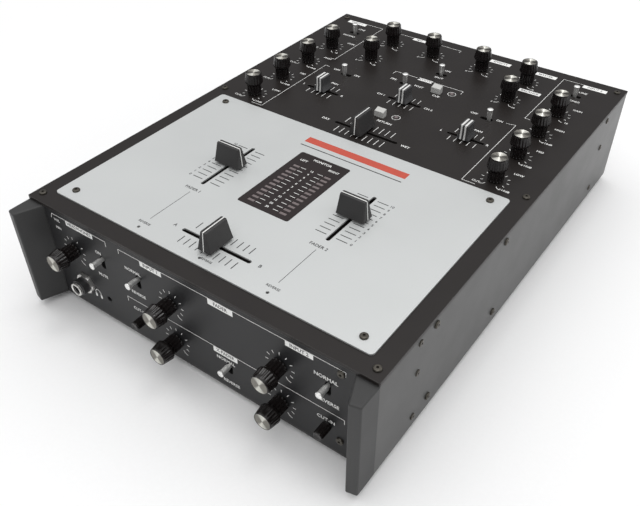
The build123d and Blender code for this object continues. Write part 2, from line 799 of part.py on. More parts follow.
def make_mains_inlet():
    """Mains inlet with three flat pins, and the housing of the power rocker."""
    shell = Box(inlet_wide, inlet_high, inlet_depth)
    shell = Pos(0, 0, -inlet_depth / 2) * shell
    rim_wide, rim_high = inlet_wide + 2 * inlet_wall, inlet_high + 2 * inlet_wall
    shell += Pos(0, 0, inlet_bezel / 2) * Box(rim_wide, rim_high, inlet_bezel)
    hollow = Box(inlet_wide - 2 * inlet_wall, inlet_high - 2 * inlet_wall, inlet_depth)
    shell -= Pos(0, 0, inlet_bezel + inlet_wall - inlet_depth / 2) * hollow
    for x, y in ((-pin_side, pin_drop), (pin_side, pin_drop), (0, -earth_rise)):
        low = inlet_wall - inlet_depth
        shell += block(x - pin_thick / 2, x + pin_thick / 2, y - pin_wide / 2, y + pin_wide / 2,
                       low, low + pin_length)
    x, y = rocker_wide / 2 + rocker_gap, rocker_long / 2 + rocker_gap
    frame = Box(2 * (x + rocker_wall), 2 * (y + rocker_wall), inlet_bezel + 2 * rocker_depth)
    frame -= Pos(0, 0, rocker_wall) * Box(2 * x, 2 * y, inlet_bezel + 2 * rocker_depth)
    frame = Pos(0, 0, inlet_bezel / 2 - rocker_depth) * frame
    pin = Rot(0, 90, 0) * Cylinder(rocker_pin, 2 * x)
    return [on_rear(inlet_x, inlet_rise) * shell, on_rear(rocker_x, inlet_rise) * (frame + pin)]


def make_power_rocker():
    """Rocker on its pin, with its lower end pressed in."""
    top = rocker_long / 2 - rocker_taper
    low = top - rocker_taper
    lift = inlet_bezel + rocker_lip
    side = Polyline((-low, -rocker_depth / 2), (low, -rocker_depth / 2), (top, lift),
                    (0, inlet_bezel), (-top, lift), close=True)
    body = extrude(Plane.YZ * make_face(side), rocker_wide / 2, both=True)
    body -= Rot(0, 90, 0) * Cylinder(rocker_pin + shaft_gap, rocker_wide * 2)
    return on_rear(rocker_x, inlet_rise) * Rot(rocker_tilt, 0, 0) * body


def make_power_supply():
    """Transformer on the floor near the mains inlet: a laminated core with two coil ends."""
    x, y, z = inlet_x + transformer / 2, back_y - 2 * transformer, foot_height + sheet
    core = block(x - transformer / 2, x + transformer / 2, y - transformer / 4, y + transformer / 4,
                 z, z + transformer * 0.8)
    coil = block(x - transformer / 3, x + transformer / 3, y - transformer / 2, y + transformer / 2,
                 z + transformer * 0.15, z + transformer * 0.65)
    return core + coil


def make_circuit_boards():
    """Board under the rear controls, board behind the front panel, and the main board on pillars."""
    half = width / 2 - board_side
    board_top = under_z - pot_height
    rear_board = block(-half, half, front_y + fader_plate_front + fader_plate_depth,
                       back_y - sheet - flange - rear_board_gap, board_top - board, board_top)
    wide = track_width + 2 * board_clearance
    long, short = [2 * (track_half(travel) + board_clearance) for travel in (fader_travel, mini_travel)]
    windows = [fader_place("effect_fader") * Box(long, wide, top_z)]
    windows += [on_top(x, v) * Box(short, wide, top_z) for x, v in mini_faders.values()]
    for window in windows:
        rear_board -= window
    front_back = panel_y + sheet + pot_height
    front_board = block(-half, half, front_back, front_back + board,
                        foot_height + front_board_inset, under_z - front_board_inset)
    window = socket_body + 2 * board_clearance
    front_board -= on_front(-jack_column, jack_row) * Box(window, window, jack_depth * 2)
    floor = foot_height + sheet
    low = floor + base_board_rise
    y0, y1 = front_y + base_board_front, front_y + base_board_rear
    main = block(-half, half, y0, y1, low, low + board)
    for x in (board_edge - half, half - board_edge):
        for y in (y0 + board_edge, y1 - board_edge):
            main += Pos(x, y, 0) * rod(pillar_radius, floor, low)
    return [rear_board, front_board, main]


def make_nodes():
    """Every sub-part, by node name."""
    nodes = {
        "base_tray": make_base_tray(),
        "front_panel": make_front_panel(),
        "rear_panel": make_rear_panel(),
        "top_plate": make_top_plate(),
        "fader_plate": make_fader_plate(),
        "left_corner_guard": make_corner_guard(-1),
        "right_corner_guard": make_corner_guard(1),
        "rubber_feet": make_feet(),
        "case_screws": make_case_screws(),
        "meter_window": make_meter_window(),
        "indicator_lamps": make_lamps(),
        "headphone_socket": make_headphone_socket(),
        "fader_tracks": make_fader_tracks(),
        "potentiometers": make_potentiometers(),
        "switch_bodies": make_switch_bodies(),
        "circuit_boards": make_circuit_boards(),
        "power_supply": make_power_supply(),
        "rear_sockets": make_rear_sockets(),
        "mains_inlet": make_mains_inlet(),
        "power_rocker": make_power_rocker(),
    }
    nodes.update(fader_caps())
    for name, (x, v) in top_knobs.items():
        nodes[name] = knob_and_shaft(on_top(x, v), top_thickness)
    for name, (x, drop) in front_knobs.items():
        nodes[name] = knob_and_shaft(on_front(x, drop), sheet)
    for name, (x, drop) in trim_knobs.items():
        nodes[name] = trim_knob(on_front(x, drop))
    for name, (x, v, rest) in top_switches.items():
        nodes[name] = on_top(x + rest, v) * lever(top_thickness)
    for name, (x, drop, rest) in front_switches.items():
        nodes[name] = on_front(x, drop - rest) * Rot(0, 0, 90) * lever(sheet)
    for name, (x, v) in buttons.items():
        nodes[name] = push_button(on_top(x, v))
    return nodes


os.makedirs("parts", exist_ok=True)
for node, shape in make_nodes().items():
    solids = [s for item in (shape if isinstance(shape, list) else [shape]) for s in item.solids()]
    export_step(Compound(solids), f"parts/{node}.step")
    print(node, len(solids))
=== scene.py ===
import bmesh
import bpy
import json
import math
import numpy as np
from mathutils import Matrix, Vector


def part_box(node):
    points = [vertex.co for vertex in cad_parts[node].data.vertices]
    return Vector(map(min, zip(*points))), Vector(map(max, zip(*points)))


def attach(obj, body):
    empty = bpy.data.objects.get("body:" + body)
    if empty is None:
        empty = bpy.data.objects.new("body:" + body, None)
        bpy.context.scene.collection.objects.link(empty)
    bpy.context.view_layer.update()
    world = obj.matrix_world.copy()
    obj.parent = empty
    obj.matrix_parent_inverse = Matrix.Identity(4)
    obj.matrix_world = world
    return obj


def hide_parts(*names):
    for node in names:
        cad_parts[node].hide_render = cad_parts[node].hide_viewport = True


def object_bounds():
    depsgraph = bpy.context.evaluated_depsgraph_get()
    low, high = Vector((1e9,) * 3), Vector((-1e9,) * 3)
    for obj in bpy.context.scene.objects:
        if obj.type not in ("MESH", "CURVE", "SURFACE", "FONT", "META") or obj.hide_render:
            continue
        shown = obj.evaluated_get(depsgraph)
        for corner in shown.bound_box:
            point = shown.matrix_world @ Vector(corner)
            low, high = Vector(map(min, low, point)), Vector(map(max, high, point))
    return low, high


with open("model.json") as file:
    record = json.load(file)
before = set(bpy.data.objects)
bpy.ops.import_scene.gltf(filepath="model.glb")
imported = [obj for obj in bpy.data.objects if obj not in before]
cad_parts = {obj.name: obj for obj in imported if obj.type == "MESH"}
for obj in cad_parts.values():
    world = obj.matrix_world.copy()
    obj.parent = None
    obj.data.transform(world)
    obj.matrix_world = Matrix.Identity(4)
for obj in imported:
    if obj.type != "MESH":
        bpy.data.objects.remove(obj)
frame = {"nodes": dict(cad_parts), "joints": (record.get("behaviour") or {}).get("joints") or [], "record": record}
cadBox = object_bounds()
nodes = frame["nodes"]
joints = frame["joints"]
mm = 0.001
faceReach = 12 * mm  # a control with its middle above this depth stands on the top plate
print("mixer: the packed parts are in")

# where the plates lie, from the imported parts
plateLow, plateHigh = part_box("top_plate")
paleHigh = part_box("fader_plate")[1]
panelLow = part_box("front_panel")[0]
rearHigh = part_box("rear_panel")[1]
frontEdge, topFace, paleFace = plateLow.y, plateHigh.z, paleHigh.z

# a place is an origin and three axes: local x to the right, y up the face, z out of it
topPlace = ((0, frontEdge, topFace), ((1, 0, 0), (0, 1, 0), (0, 0, 1)))
palePlace = ((0, frontEdge, paleFace), topPlace[1])
frontPlace = ((0, panelLow.y, topFace), ((1, 0, 0), (0, 0, 1), (0, -1, 0)))
rearPlace = ((0, rearHigh.y, 0), ((-1, 0, 0), (0, 0, 1), (0, 1, 0)))


def putAt(points, place, shift=(0, 0, 0)):
    # local points in millimetres, moved by shift and carried to a place in the frame
    origin, axes = place
    return np.array(origin) + (np.asarray(points, float) + shift) @ np.array(axes, float) * mm


def nodeMiddle(name):
    low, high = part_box(name)
    return (low + high) / 2


def placeOf(node):
    # the place of a control: under its middle on the top plate, or behind it on the front panel
    middle = nodeMiddle(node)
    if middle.z > topFace - faceReach:
        return ((middle.x, middle.y, topFace), topPlace[1])
    return ((middle.x, panelLow.y, middle.z), frontPlace[1])


def newMaterial(name):
    material = bpy.data.materials.new(name)
    material.use_nodes = True
    tree = material.node_tree
    return material, tree, tree.nodes["Principled BSDF"]


def addNode(tree, kind, **values):
    node = tree.nodes.new(kind)
    for key, value in values.items():
        if key in node.inputs:
            node.inputs[key].default_value = value
        else:
            setattr(node, key, value)
    return node


def tint(color, factor):
    return tuple(min(1.0, c * factor) for c in color[:3]) + (1.0,)


def finish(name, color, roughness, metallic=0.0, grain=2600.0, bump=0.25, depth=0.00002,
           shade=0.10, blotch=45.0, gloss=0.06, edge=0.0, edgeWearAndHighlightColor=None, specular=0.5):
    # a moulded, painted or metal surface: two noises vary its colour and gloss, a fine one raises its grain
    material, tree, shader = newMaterial(name)
    link = tree.links.new
    place = addNode(tree, "ShaderNodeTexCoord")
    fine = addNode(tree, "ShaderNodeTexNoise", Scale=grain, Detail=3.0)
    broad = addNode(tree, "ShaderNodeTexNoise", Scale=blotch, Detail=4.0)
    for noise in (fine, broad):
        link(place.outputs["Object"], noise.inputs["Vector"])
    both = addNode(tree, "ShaderNodeMath", operation="MULTIPLY")
    link(fine.outputs["Fac"], both.inputs[0])
    link(broad.outputs["Fac"], both.inputs[1])
    ramp = addNode(tree, "ShaderNodeValToRGB")
    for element, position, factor in zip(ramp.color_ramp.elements, (0.10, 0.42), (1 - shade, 1 + shade)):
        element.position, element.color = position, tint(color, factor)
    link(both.outputs[0], ramp.inputs["Fac"])
    colorOut = ramp.outputs["Color"]
    if edge:  # paler at the edges, partly wear where they are handled and partly a painted highlight along them: the rounded normal turns away from the true one there
        rounded = addNode(tree, "ShaderNodeBevel", samples=4, Radius=edge)
        true = addNode(tree, "ShaderNodeNewGeometry")
        dot = addNode(tree, "ShaderNodeVectorMath", operation="DOT_PRODUCT")
        link(rounded.outputs[0], dot.inputs[0])
        link(true.outputs["True Normal"], dot.inputs[1])
        wornAndHighlitEdge = addNode(tree, "ShaderNodeMapRange",
                       **{"From Min": 0.97, "From Max": 0.80, "To Min": 0.0, "To Max": 0.9})
        link(dot.outputs["Value"], wornAndHighlitEdge.inputs["Value"])
        patchyWearAndHighlight = addNode(tree, "ShaderNodeMath", operation="MULTIPLY")
        link(wornAndHighlitEdge.outputs[0], patchyWearAndHighlight.inputs[0])
        link(broad.outputs["Fac"], patchyWearAndHighlight.inputs[1])
        mix = addNode(tree, "ShaderNodeMix", data_type="RGBA")
        link(patchyWearAndHighlight.outputs[0], mix.inputs["Factor"])
        link(colorOut, mix.inputs[6])
        mix.inputs[7].default_value = tint(edgeWearAndHighlightColor or color, 1.0 if edgeWearAndHighlightColor else 1.6)
        colorOut = mix.outputs[2]
    link(colorOut, shader.inputs["Base Color"])
    level = addNode(tree, "ShaderNodeMapRange")
    level.inputs["To Min"].default_value = max(0.02, roughness - gloss)
    level.inputs["To Max"].default_value = min(1.0, roughness + gloss)
    link(broad.outputs["Fac"], level.inputs["Value"])
    link(level.outputs[0], shader.inputs["Roughness"])
    raised = addNode(tree, "ShaderNodeBump", Strength=bump, Distance=depth)
    link(fine.outputs["Fac"], raised.inputs["Height"])
    if edge:
        link(rounded.outputs[0], raised.inputs["Normal"])
    link(raised.outputs[0], shader.inputs["Normal"])
    shader.inputs["Metallic"].default_value = metallic
    shader.inputs["Specular IOR Level"].default_value = specular
    return material


def spunMetal(name, color):
    # turned disc: a gloss stretched round the piece's own polar map, a few faint rings, and painted highlight
    # quarters
    material, tree, shader = newMaterial(name)
    link = tree.links.new
    polar = addNode(tree, "ShaderNodeUVMap", uv_map="polar")
    rings = addNode(tree, "ShaderNodeTexNoise", Scale=1.0, Detail=2.0)
    stretch = addNode(tree, "ShaderNodeMapping")
    stretch.inputs["Scale"].default_value = (2.0, 90.0, 1.0)
    link(polar.outputs[0], stretch.inputs["Vector"])
    link(stretch.outputs[0], rings.inputs["Vector"])
    ramp = addNode(tree, "ShaderNodeValToRGB")
    for element, position, factor in zip(ramp.color_ramp.elements, (0.3, 0.7), (0.82, 1.1)):
        element.position, element.color = position, tint(color, factor)
    link(rings.outputs["Fac"], ramp.inputs["Fac"])
    # painted highlight: two paler and two darker quarters stand in for the bow-tie glint of a spun disc; they
    # follow the cosine of twice the angle
    parted = addNode(tree, "ShaderNodeSeparateXYZ")
    twice = addNode(tree, "ShaderNodeMath", operation="MULTIPLY")
    twice.inputs[1].default_value = 4 * math.pi
    wave = addNode(tree, "ShaderNodeMath", operation="COSINE")
    paintedGlintQuarters = addNode(tree, "ShaderNodeMapRange", interpolation_type="SMOOTHSTEP",
                       **{"From Min": -0.2, "From Max": 0.95, "To Min": 0.0, "To Max": 1.0})
    mixed = addNode(tree, "ShaderNodeMix", data_type="RGBA", blend_type="MULTIPLY")
    mixed.inputs["Factor"].default_value = 1.0
    paintedGlintShades = addNode(tree, "ShaderNodeValToRGB")
    paintedGlintShades.color_ramp.elements[0].color = (0.36, 0.35, 0.34, 1.0)
    paintedGlintShades.color_ramp.elements[1].color = (1.0, 1.0, 1.0, 1.0)
    link(polar.outputs[0], parted.inputs[0])
    link(parted.outputs["X"], twice.inputs[0])
    link(twice.outputs[0], wave.inputs[0])
    link(wave.outputs[0], paintedGlintQuarters.inputs["Value"])
    link(paintedGlintQuarters.outputs[0], paintedGlintShades.inputs["Fac"])
    link(ramp.outputs["Color"], mixed.inputs[6])
    link(paintedGlintShades.outputs["Color"], mixed.inputs[7])
    link(mixed.outputs[2], shader.inputs["Base Color"])
    around = addNode(tree, "ShaderNodeTangent", direction_type="UV_MAP", uv_map="polar")
    link(around.outputs[0], shader.inputs["Tangent"])
    shader.inputs["Metallic"].default_value = 1.0
    shader.inputs["Roughness"].default_value = 0.48
    shader.inputs["Anisotropic"].default_value = 1.0
    shader.inputs["Anisotropic Rotation"].default_value = 0.25
    raised = addNode(tree, "ShaderNodeBump", Strength=0.15, Distance=0.00002)
    link(rings.outputs["Fac"], raised.inputs["Height"])
    link(raised.outputs[0], shader.inputs["Normal"])
    return material


def ink(name, color, roughness=0.55):
    # screen-printed ink: slightly uneven cover
    return finish(name, color, roughness, grain=5200.0, bump=0.1, shade=0.07, blotch=300.0)


# the paler edge colours below are partly edge wear and partly a painted edge highlight
topPaint = finish("topPaint", (0.019, 0.0162, 0.0152), 0.36, grain=2400.0, bump=0.30, shade=0.10,
                  edge=0.0006, edgeWearAndHighlightColor=(0.16, 0.155, 0.15), specular=0.25)
panelPaint = finish("panelPaint", (0.018, 0.018, 0.019), 0.42, grain=2400.0, bump=0.30,
                    edge=0.0006, edgeWearAndHighlightColor=(0.06, 0.06, 0.06), specular=0.3)
sidePaint = finish("sidePaint", (0.030, 0.030, 0.029), 0.34, grain=2400.0, bump=0.25,
                   edge=0.0006, edgeWearAndHighlightColor=(0.13, 0.13, 0.13))
guardPlastic = finish("guardPlastic", (0.028, 0.028, 0.028), 0.50, grain=1500.0, bump=0.45, depth=0.00004,
                      edge=0.0008, edgeWearAndHighlightColor=(0.10, 0.10, 0.10))
paleMetal = finish("paleMetal", (0.61, 0.625, 0.62), 0.42, metallic=0.3, grain=3600.0, bump=0.18,
                   shade=0.03, blotch=14.0, gloss=0.05, edge=0.0004, edgeWearAndHighlightColor=(0.8, 0.82, 0.82))
knobPlastic = finish("knobPlastic", (0.007, 0.005, 0.0048), 0.22, grain=3000.0, bump=0.12, specular=0.42)
discMetalWithPaintedGlint = spunMetal("discMetalWithPaintedGlint", (0.85, 0.84, 0.78))
chromePin = finish("chromePin", (0.92, 0.92, 0.90), 0.34, metallic=0.75, grain=1800.0, bump=0.05, shade=0.04)
capPlastic = finish("capPlastic", (0.028, 0.027, 0.027), 0.50, grain=1700.0, bump=0.5, depth=0.00003,
                    edge=0.0004, edgeWearAndHighlightColor=(0.13, 0.13, 0.13))
smallCapPlastic = finish("smallCapPlastic", (0.055, 0.055, 0.057), 0.45, grain=1700.0, bump=0.4,
                         edge=0.0004, edgeWearAndHighlightColor=(0.16, 0.16, 0.16))
whiteInlay = finish("whiteInlay", (0.78, 0.78, 0.76), 0.45, grain=3000.0, bump=0.1, shade=0.05)
palePlastic = finish("palePlastic", (0.55, 0.55, 0.53), 0.40, grain=2200.0, bump=0.2, shade=0.06)
whiteInk = ink("whiteInk", (0.90, 0.90, 0.88))
blackInk = ink("blackInk", (0.018, 0.018, 0.019))
redInk = ink("redInk", (0.52, 0.075, 0.045))
meterPaint = finish("meterPaint", (0.022, 0.016, 0.016), 0.32, grain=3200.0, bump=0.1, specular=0.25)
barPlastic = finish("barPlastic", (0.17, 0.14, 0.14), 0.35, grain=2600.0, bump=0.1, shade=0.12, blotch=160.0)
innerBlack = finish("innerBlack", (0.010, 0.010, 0.010), 0.6)
screwBlack = finish("screwBlack", (0.085, 0.078, 0.066), 0.36, metallic=0.8, grain=2600.0, bump=0.2)
nickel = finish("nickel", (0.82, 0.81, 0.78), 0.30, metallic=0.9, grain=1600.0, bump=0.08, shade=0.06)
socketBlack = finish("socketBlack", (0.025, 0.025, 0.026), 0.40, grain=2200.0, bump=0.2)
footRubber = finish("footRubber", (0.020, 0.020, 0.020), 0.75, grain=1400.0, bump=0.5, depth=0.00004)
boardGreen = finish("boardGreen", (0.03, 0.14, 0.06), 0.40, grain=900.0, bump=0.2)
plainSteel = finish("plainSteel", (0.55, 0.55, 0.54), 0.38, metallic=1.0, grain=1200.0, bump=0.15)
redCollar = finish("redCollar", (0.45, 0.03, 0.03), 0.40, grain=2200.0)
whiteCollar = finish("whiteCollar", (0.70, 0.70, 0.68), 0.40, grain=2200.0)

nodeFinish = {
    "top_plate": topPaint, "fader_plate": paleMetal, "front_panel": panelPaint, "rear_panel": panelPaint,
    "base_tray": sidePaint, "left_corner_guard": guardPlastic, "right_corner_guard": guardPlastic,
    "rubber_feet": footRubber, "case_screws": screwBlack, "meter_window": meterPaint,
    "indicator_lamps": barPlastic, "headphone_socket": nickel, "fader_tracks": innerBlack,
    "potentiometers": innerBlack, "switch_bodies": innerBlack, "circuit_boards": boardGreen,
    "power_supply": plainSteel, "rear_sockets": nickel, "mains_inlet": socketBlack,
    "power_rocker": socketBlack, "monitor_button": palePlastic, "return_button": palePlastic,
    "input_1_cut_in_knob": knobPlastic, "input_2_cut_in_knob": knobPlastic,
}
for nodeName, node in nodes.items():
    node.data.materials.clear()
    node.data.materials.append(nodeFinish.get(nodeName, capPlastic))
print("mixer: materials are on the packed parts")


def gridFaces(rows, columns, closed=False):
    # four-sided faces on a grid of rows and columns; closed joins the last column to the first
    across = columns if closed else columns - 1
    row, column = np.meshgrid(np.arange(rows - 1), np.arange(across), indexing="ij")
    after = (column + 1) % columns
    faces = np.stack([row * columns + column, row * columns + after,
                      (row + 1) * columns + after, (row + 1) * columns + column], -1)
    return faces.reshape(-1, 4)


def joinParts(parts):
    # several (points, faces) pairs as one
    offset, points, faces = 0, [], []
    for partPoints, partFaces in parts:
        points.append(np.asarray(partPoints, float))
        faces += [[int(index) + offset for index in face] for face in partFaces]
        offset += len(partPoints)
    return np.concatenate(points), faces


meshSpec = {"merge": 2e-6, "sliver": 1e-7, "sharp": 34}  # metres, metres, and degrees between smoothed faces


def makePiece(name, parts, body, materials, smooth=True, stands=()):
    # parts: (points, faces, material number, polar map or None), already in the frame
    mesh = bpy.data.meshes.new(name)
    points, faces = joinParts([(p[0], p[1]) for p in parts])
    mesh.from_pydata(points.tolist(), [], faces)
    number = np.concatenate([np.full(len(p[1]), p[2]) for p in parts])
    mesh.polygons.foreach_set("material_index", number.astype(np.int32))
    if any(p[3] is not None for p in parts):
        layer = mesh.uv_layers.new(name="polar")
        maps = np.concatenate([p[3] if p[3] is not None else np.zeros((len(p[0]), 2)) for p in parts])
        corner = np.zeros(len(mesh.loops), np.int32)
        mesh.loops.foreach_get("vertex_index", corner)
        layer.data.foreach_set("uv", maps[corner].astype(np.float32).ravel())
    for material in materials:
        mesh.materials.append(material)
    shape = bmesh.new()
    shape.from_mesh(mesh)
    bmesh.ops.remove_doubles(shape, verts=shape.verts, dist=meshSpec["merge"])
    bmesh.ops.dissolve_degenerate(shape, edges=shape.edges, dist=meshSpec["sliver"])
    bmesh.ops.recalc_face_normals(shape, faces=shape.faces)
    shape.to_mesh(mesh)
    shape.free()
    mesh.polygons.foreach_set("use_smooth", np.full(len(mesh.polygons), smooth))
    if smooth:
        mesh.set_sharp_from_angle(angle=math.radians(meshSpec["sharp"]))
    piece = bpy.data.objects.new(name, mesh)
    bpy.context.scene.collection.objects.link(piece)
    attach(piece, body)
    if stands:
        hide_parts(*stands)


def turned(profile, segments, flute=None):
    # a profile of (radius, height) turned about local z: x = r sin(angle), y = r cos(angle)
    # flute(angle, row) gives the depth taken off the radius
    profile = np.asarray(profile, float)
    angle = np.arange(segments) * 2 * np.pi / segments
    radius = np.repeat(profile[:, :1], segments, 1)
    if flute is not None:
        radius = radius - flute(angle[None, :], np.arange(len(profile))[:, None])
    points = np.stack([radius * np.sin(angle), radius * np.cos(angle),
                       np.repeat(profile[:, 1:], segments, 1)], -1)
    return points.reshape(-1, 3), gridFaces(len(profile), segments, closed=True)


# millimetres; angles in radians
knobSpec = {"flutes": 14, "fluteDepth": 0.62, "ribs": 18, "ribDepth": 0.42, "segments": 252,
            "pointerWidth": 0.10, "pointerDepth": 0.5, "discRadius": 5.22, "discHeight": 16.9,
            "discDish": 0.05, "discFoot": 16.4, "discRings": 9, "discSegments": 96}

# radius, height, how much of the flutes and of the ribs shows there
knobRows = np.array([
    (0.0, -5.0, 0, 0), (3.0, -5.0, 0, 0), (3.0, 0.7, 0, 0), (4.85, 0.62, 0, 0), (5.1, 0.8, 0.3, 0),
    (5.15, 1.2, 1, 0), (5.15, 3.0, 1, 0), (5.15, 5.0, 1, 0), (5.15, 7.4, 1, 0), (5.2, 7.9, 0.5, 0.2),
    (5.5, 8.25, 0, 0.6), (6.3, 9.2, 0, 1), (6.66, 9.75, 0, 1), (6.7, 10.2, 0, 1), (6.62, 10.9, 0, 1),
    (6.4, 12.2, 0, 1), (6.2, 13.6, 0, 0.9), (5.98, 15.0, 0, 0.5), (5.82, 16.1, 0, 0.1), (5.66, 16.75, 0, 0),
    (5.5, 16.97, 0, 0), (5.32, 16.97, 0, 0), (5.24, 16.7, 0, 0), (3.0, 16.6, 0, 0), (0.0, 16.6, 0, 0)])


def fromFront(angle):
    # how far an angle is from the pointer's, either way round
    return np.abs((angle + np.pi) % (2 * np.pi) - np.pi)


def knobFlute(angle, row):
    # hollows between the skirt's flutes and the belly's ribs: (half - half cos(count * angle)) to a power,
    # times a depth; the pointer groove at the front is exp(-(angle / width) to the fourth)
    hollow = (0.5 - 0.5 * np.cos(angle * knobSpec["flutes"])) ** 1.5 * knobSpec["fluteDepth"]
    rib = (0.5 - 0.5 * np.cos(angle * knobSpec["ribs"])) ** 2 * knobSpec["ribDepth"]
    groove = np.exp(-(fromFront(angle) / knobSpec["pointerWidth"]) ** 4) * knobSpec["pointerDepth"]
    weight = knobRows[:, 2:][row[:, 0]]
    return weight[:, :1] * hollow + weight[:, 1:] * (rib + groove)


knobBody = turned(knobRows[:, :2], knobSpec["segments"], knobFlute)


def polarDisc(spec):
    # rings about a middle, z = height - dish * r squared, with a map of (angle, r)
    # the seam column is doubled, so the map doesn't run backwards there
    r = np.linspace(0, 1, spec["discRings"])[:, None]
    a = np.linspace(0, 2 * np.pi, spec["discSegments"] + 1)[None, :]
    z = spec["discHeight"] - spec["discDish"] * r ** 2
    x, y = spec["discRadius"] * r * np.sin(a), spec["discRadius"] * r * np.cos(a)
    points = np.stack([x, y, z + 0 * a], -1).reshape(-1, 3)
    polar = np.stack([a / (2 * np.pi) + 0 * r, r + 0 * a], -1).reshape(-1, 2)
    return points, gridFaces(spec["discRings"], spec["discSegments"] + 1), polar


discPoints, discFaces, discPolar = polarDisc(knobSpec)
discRim = turned([(knobSpec["discRadius"], knobSpec["discHeight"] - knobSpec["discDish"]),
                  (knobSpec["discRadius"], knobSpec["discFoot"]), (0, knobSpec["discFoot"])],
                 knobSpec["discSegments"])
knobNodes = [j["child"] for j in joints if j["child"].endswith("_knob") and "cut_in" not in j["child"]]
for nodeName in knobNodes:
    place = placeOf(nodeName)
    makePiece(nodeName + "_grip", [(putAt(knobBody[0], place), knobBody[1], 0, None),
                                   (putAt(discPoints, place), discFaces, 1, discPolar),
                                   (putAt(discRim[0], place), discRim[1], 1, np.zeros((len(discRim[0]), 2)))],
              nodeName, [knobPlastic, discMetalWithPaintedGlint], stands=[nodeName])
print("mixer: knobs", len(knobNodes))

# the two small trim knobs
trimSpec = {"flutes": 12, "fluteDepth": 0.42, "segments": 144, "notchWidth": 0.12, "notchDepth": 0.5}

# radius, height, how much of the flutes shows there
trimRows = np.array([
    (0.0, -4.0, 0), (1.5, -4.0, 0), (1.5, 0.75, 0), (2.75, 0.7, 0), (3.0, 1.0, 0.4), (3.0, 1.6, 1),
    (3.0, 5.0, 1), (2.95, 8.2, 1), (2.85, 9.0, 0.4), (2.55, 9.42, 0), (2.2, 9.5, 0), (1.9, 9.35, 0),
    (0.0, 9.3, 0)])


def trimFlute(angle, row):
    # shallow hollows, (half - half cos(count * angle)) squared, and a narrow notch that shows where it points
    hollow = (0.5 - 0.5 * np.cos(angle * trimSpec["flutes"])) ** 2 * trimSpec["fluteDepth"]
    notch = np.exp(-(fromFront(angle) / trimSpec["notchWidth"]) ** 4) * trimSpec["notchDepth"]
    return trimRows[:, 2:][row[:, 0]] * (hollow + notch)


trimShape = turned(trimRows[:, :2], trimSpec["segments"], trimFlute)
trimNodes = ["input_1_cut_in_knob", "input_2_cut_in_knob"]
for nodeName in trimNodes:
    makePiece(nodeName + "_grip", [(putAt(trimShape[0], placeOf(nodeName)), trimShape[1], 0, None)],
              nodeName, [knobPlastic], stands=[nodeName])
print("mixer: trim knobs", len(trimNodes))

# a switch lever, in millimetres from the panel's face
leverSpec = {"neck": 1.35, "radius": 1.8, "head": 2.15, "height": 8.6, "foot": -4.0, "dome": 0.6,
             "segments": 40}


def leverProfile(spec):
    # a pin that thickens above the panel, under a slightly wider head whose dome is a quarter ellipse
    foot, neck, radius, head, top = (spec[key] for key in ("foot", "neck", "radius", "head", "height"))
    quarter = np.linspace(0, np.pi / 2, 7)[:-1]
    dome = [(head * math.cos(t), top - spec["dome"] + spec["dome"] * math.sin(t)) for t in quarter]
    pin = [(0, foot), (neck, foot), (neck, 0.6), (radius, 2.2), (radius, top - 2.0),
           (radius + 0.1, top - 1.5), (head - 0.1, top - 1.3), (head, top - 1.1)]
    return pin + dome + [(0, top)]


leverShape = turned(leverProfile(leverSpec), leverSpec["segments"])
leverNodes = [j["child"] for j in joints if j["child"].endswith("_switch")]
for nodeName in leverNodes:
    makePiece(nodeName + "_lever", [(putAt(leverShape[0], placeOf(nodeName)), leverShape[1], 0, None)],
              nodeName, [chromePin], stands=[nodeName])
print("mixer: levers", len(leverNodes))


# the headphone socket, in millimetres from the panel's face
socketSpec = {"bore": 3.25, "ring": 4.55, "barrel": 5.5, "mouth": 9.0, "ringLength": 1.5, "depth": 24.0,
              "floor": 1.2, "segments": 64, "nutAcross": 13.5, "nut": 2.2, "nutLift": 0.02,
              "nutChamfer": 0.45, "nutSegments": 96}


def hexRing(spec):
    # a nut: its radius is half across / cos(angle to the nearest flat), and a cone takes its corners off
    segments, half, chamfer = spec["nutSegments"], spec["nutAcross"] / 2, spec["nutChamfer"]
    angle = np.arange(segments) * 2 * np.pi / segments
    flat = (angle + np.pi / 6) % (np.pi / 3) - np.pi / 6
    hexagon = half / np.cos(flat)
    height = np.array([spec["nutLift"], spec["nutLift"], spec["nut"] - chamfer, spec["nut"], spec["nut"]])
    taken = np.array([0.0, 0.0, 0.0, chamfer, 0.0])[:, None]  # off the corners, row by row
    inside = np.array([True, False, False, False, True])[:, None]  # the rows that run round the barrel
    radius = np.where(inside, spec["barrel"] - 0.1, np.minimum(hexagon, half * 1.1 - taken))
    points = np.stack([radius * np.sin(angle), radius * np.cos(angle),
                       np.repeat(height[:, None], segments, 1)], -1)
    last, around = (len(height) - 1) * segments, np.arange(segments)
    close = np.stack([last + around, last + (around + 1) % segments, (around + 1) % segments, around], 1)
    return points.reshape(-1, 3), np.concatenate([gridFaces(len(height), segments, closed=True), close])


def socketParts(spec):
    # a threaded barrel with its bore, and the ring at its mouth, each a turned profile
    bore, ring, barrel, mouth, depth = (spec[key] for key in ("bore", "ring", "barrel", "mouth", "depth"))
    seat = mouth - spec["ringLength"]
    barrelShape = turned([(0, -depth), (barrel, -depth), (barrel, seat - 0.8), (ring + 0.2, seat - 0.3),
                          (ring + 0.1, seat), (bore, seat), (bore, spec["floor"] - depth),
                          (0, spec["floor"] - depth)], spec["segments"])
    lip = bore - 0.02
    ringShape = turned([(lip, seat), (ring, seat), (ring, mouth - 0.3), (ring - 0.3, mouth),
                        (bore + 0.35, mouth), (lip, mouth - 0.35), (lip, seat)], spec["segments"])
    return barrelShape, ringShape


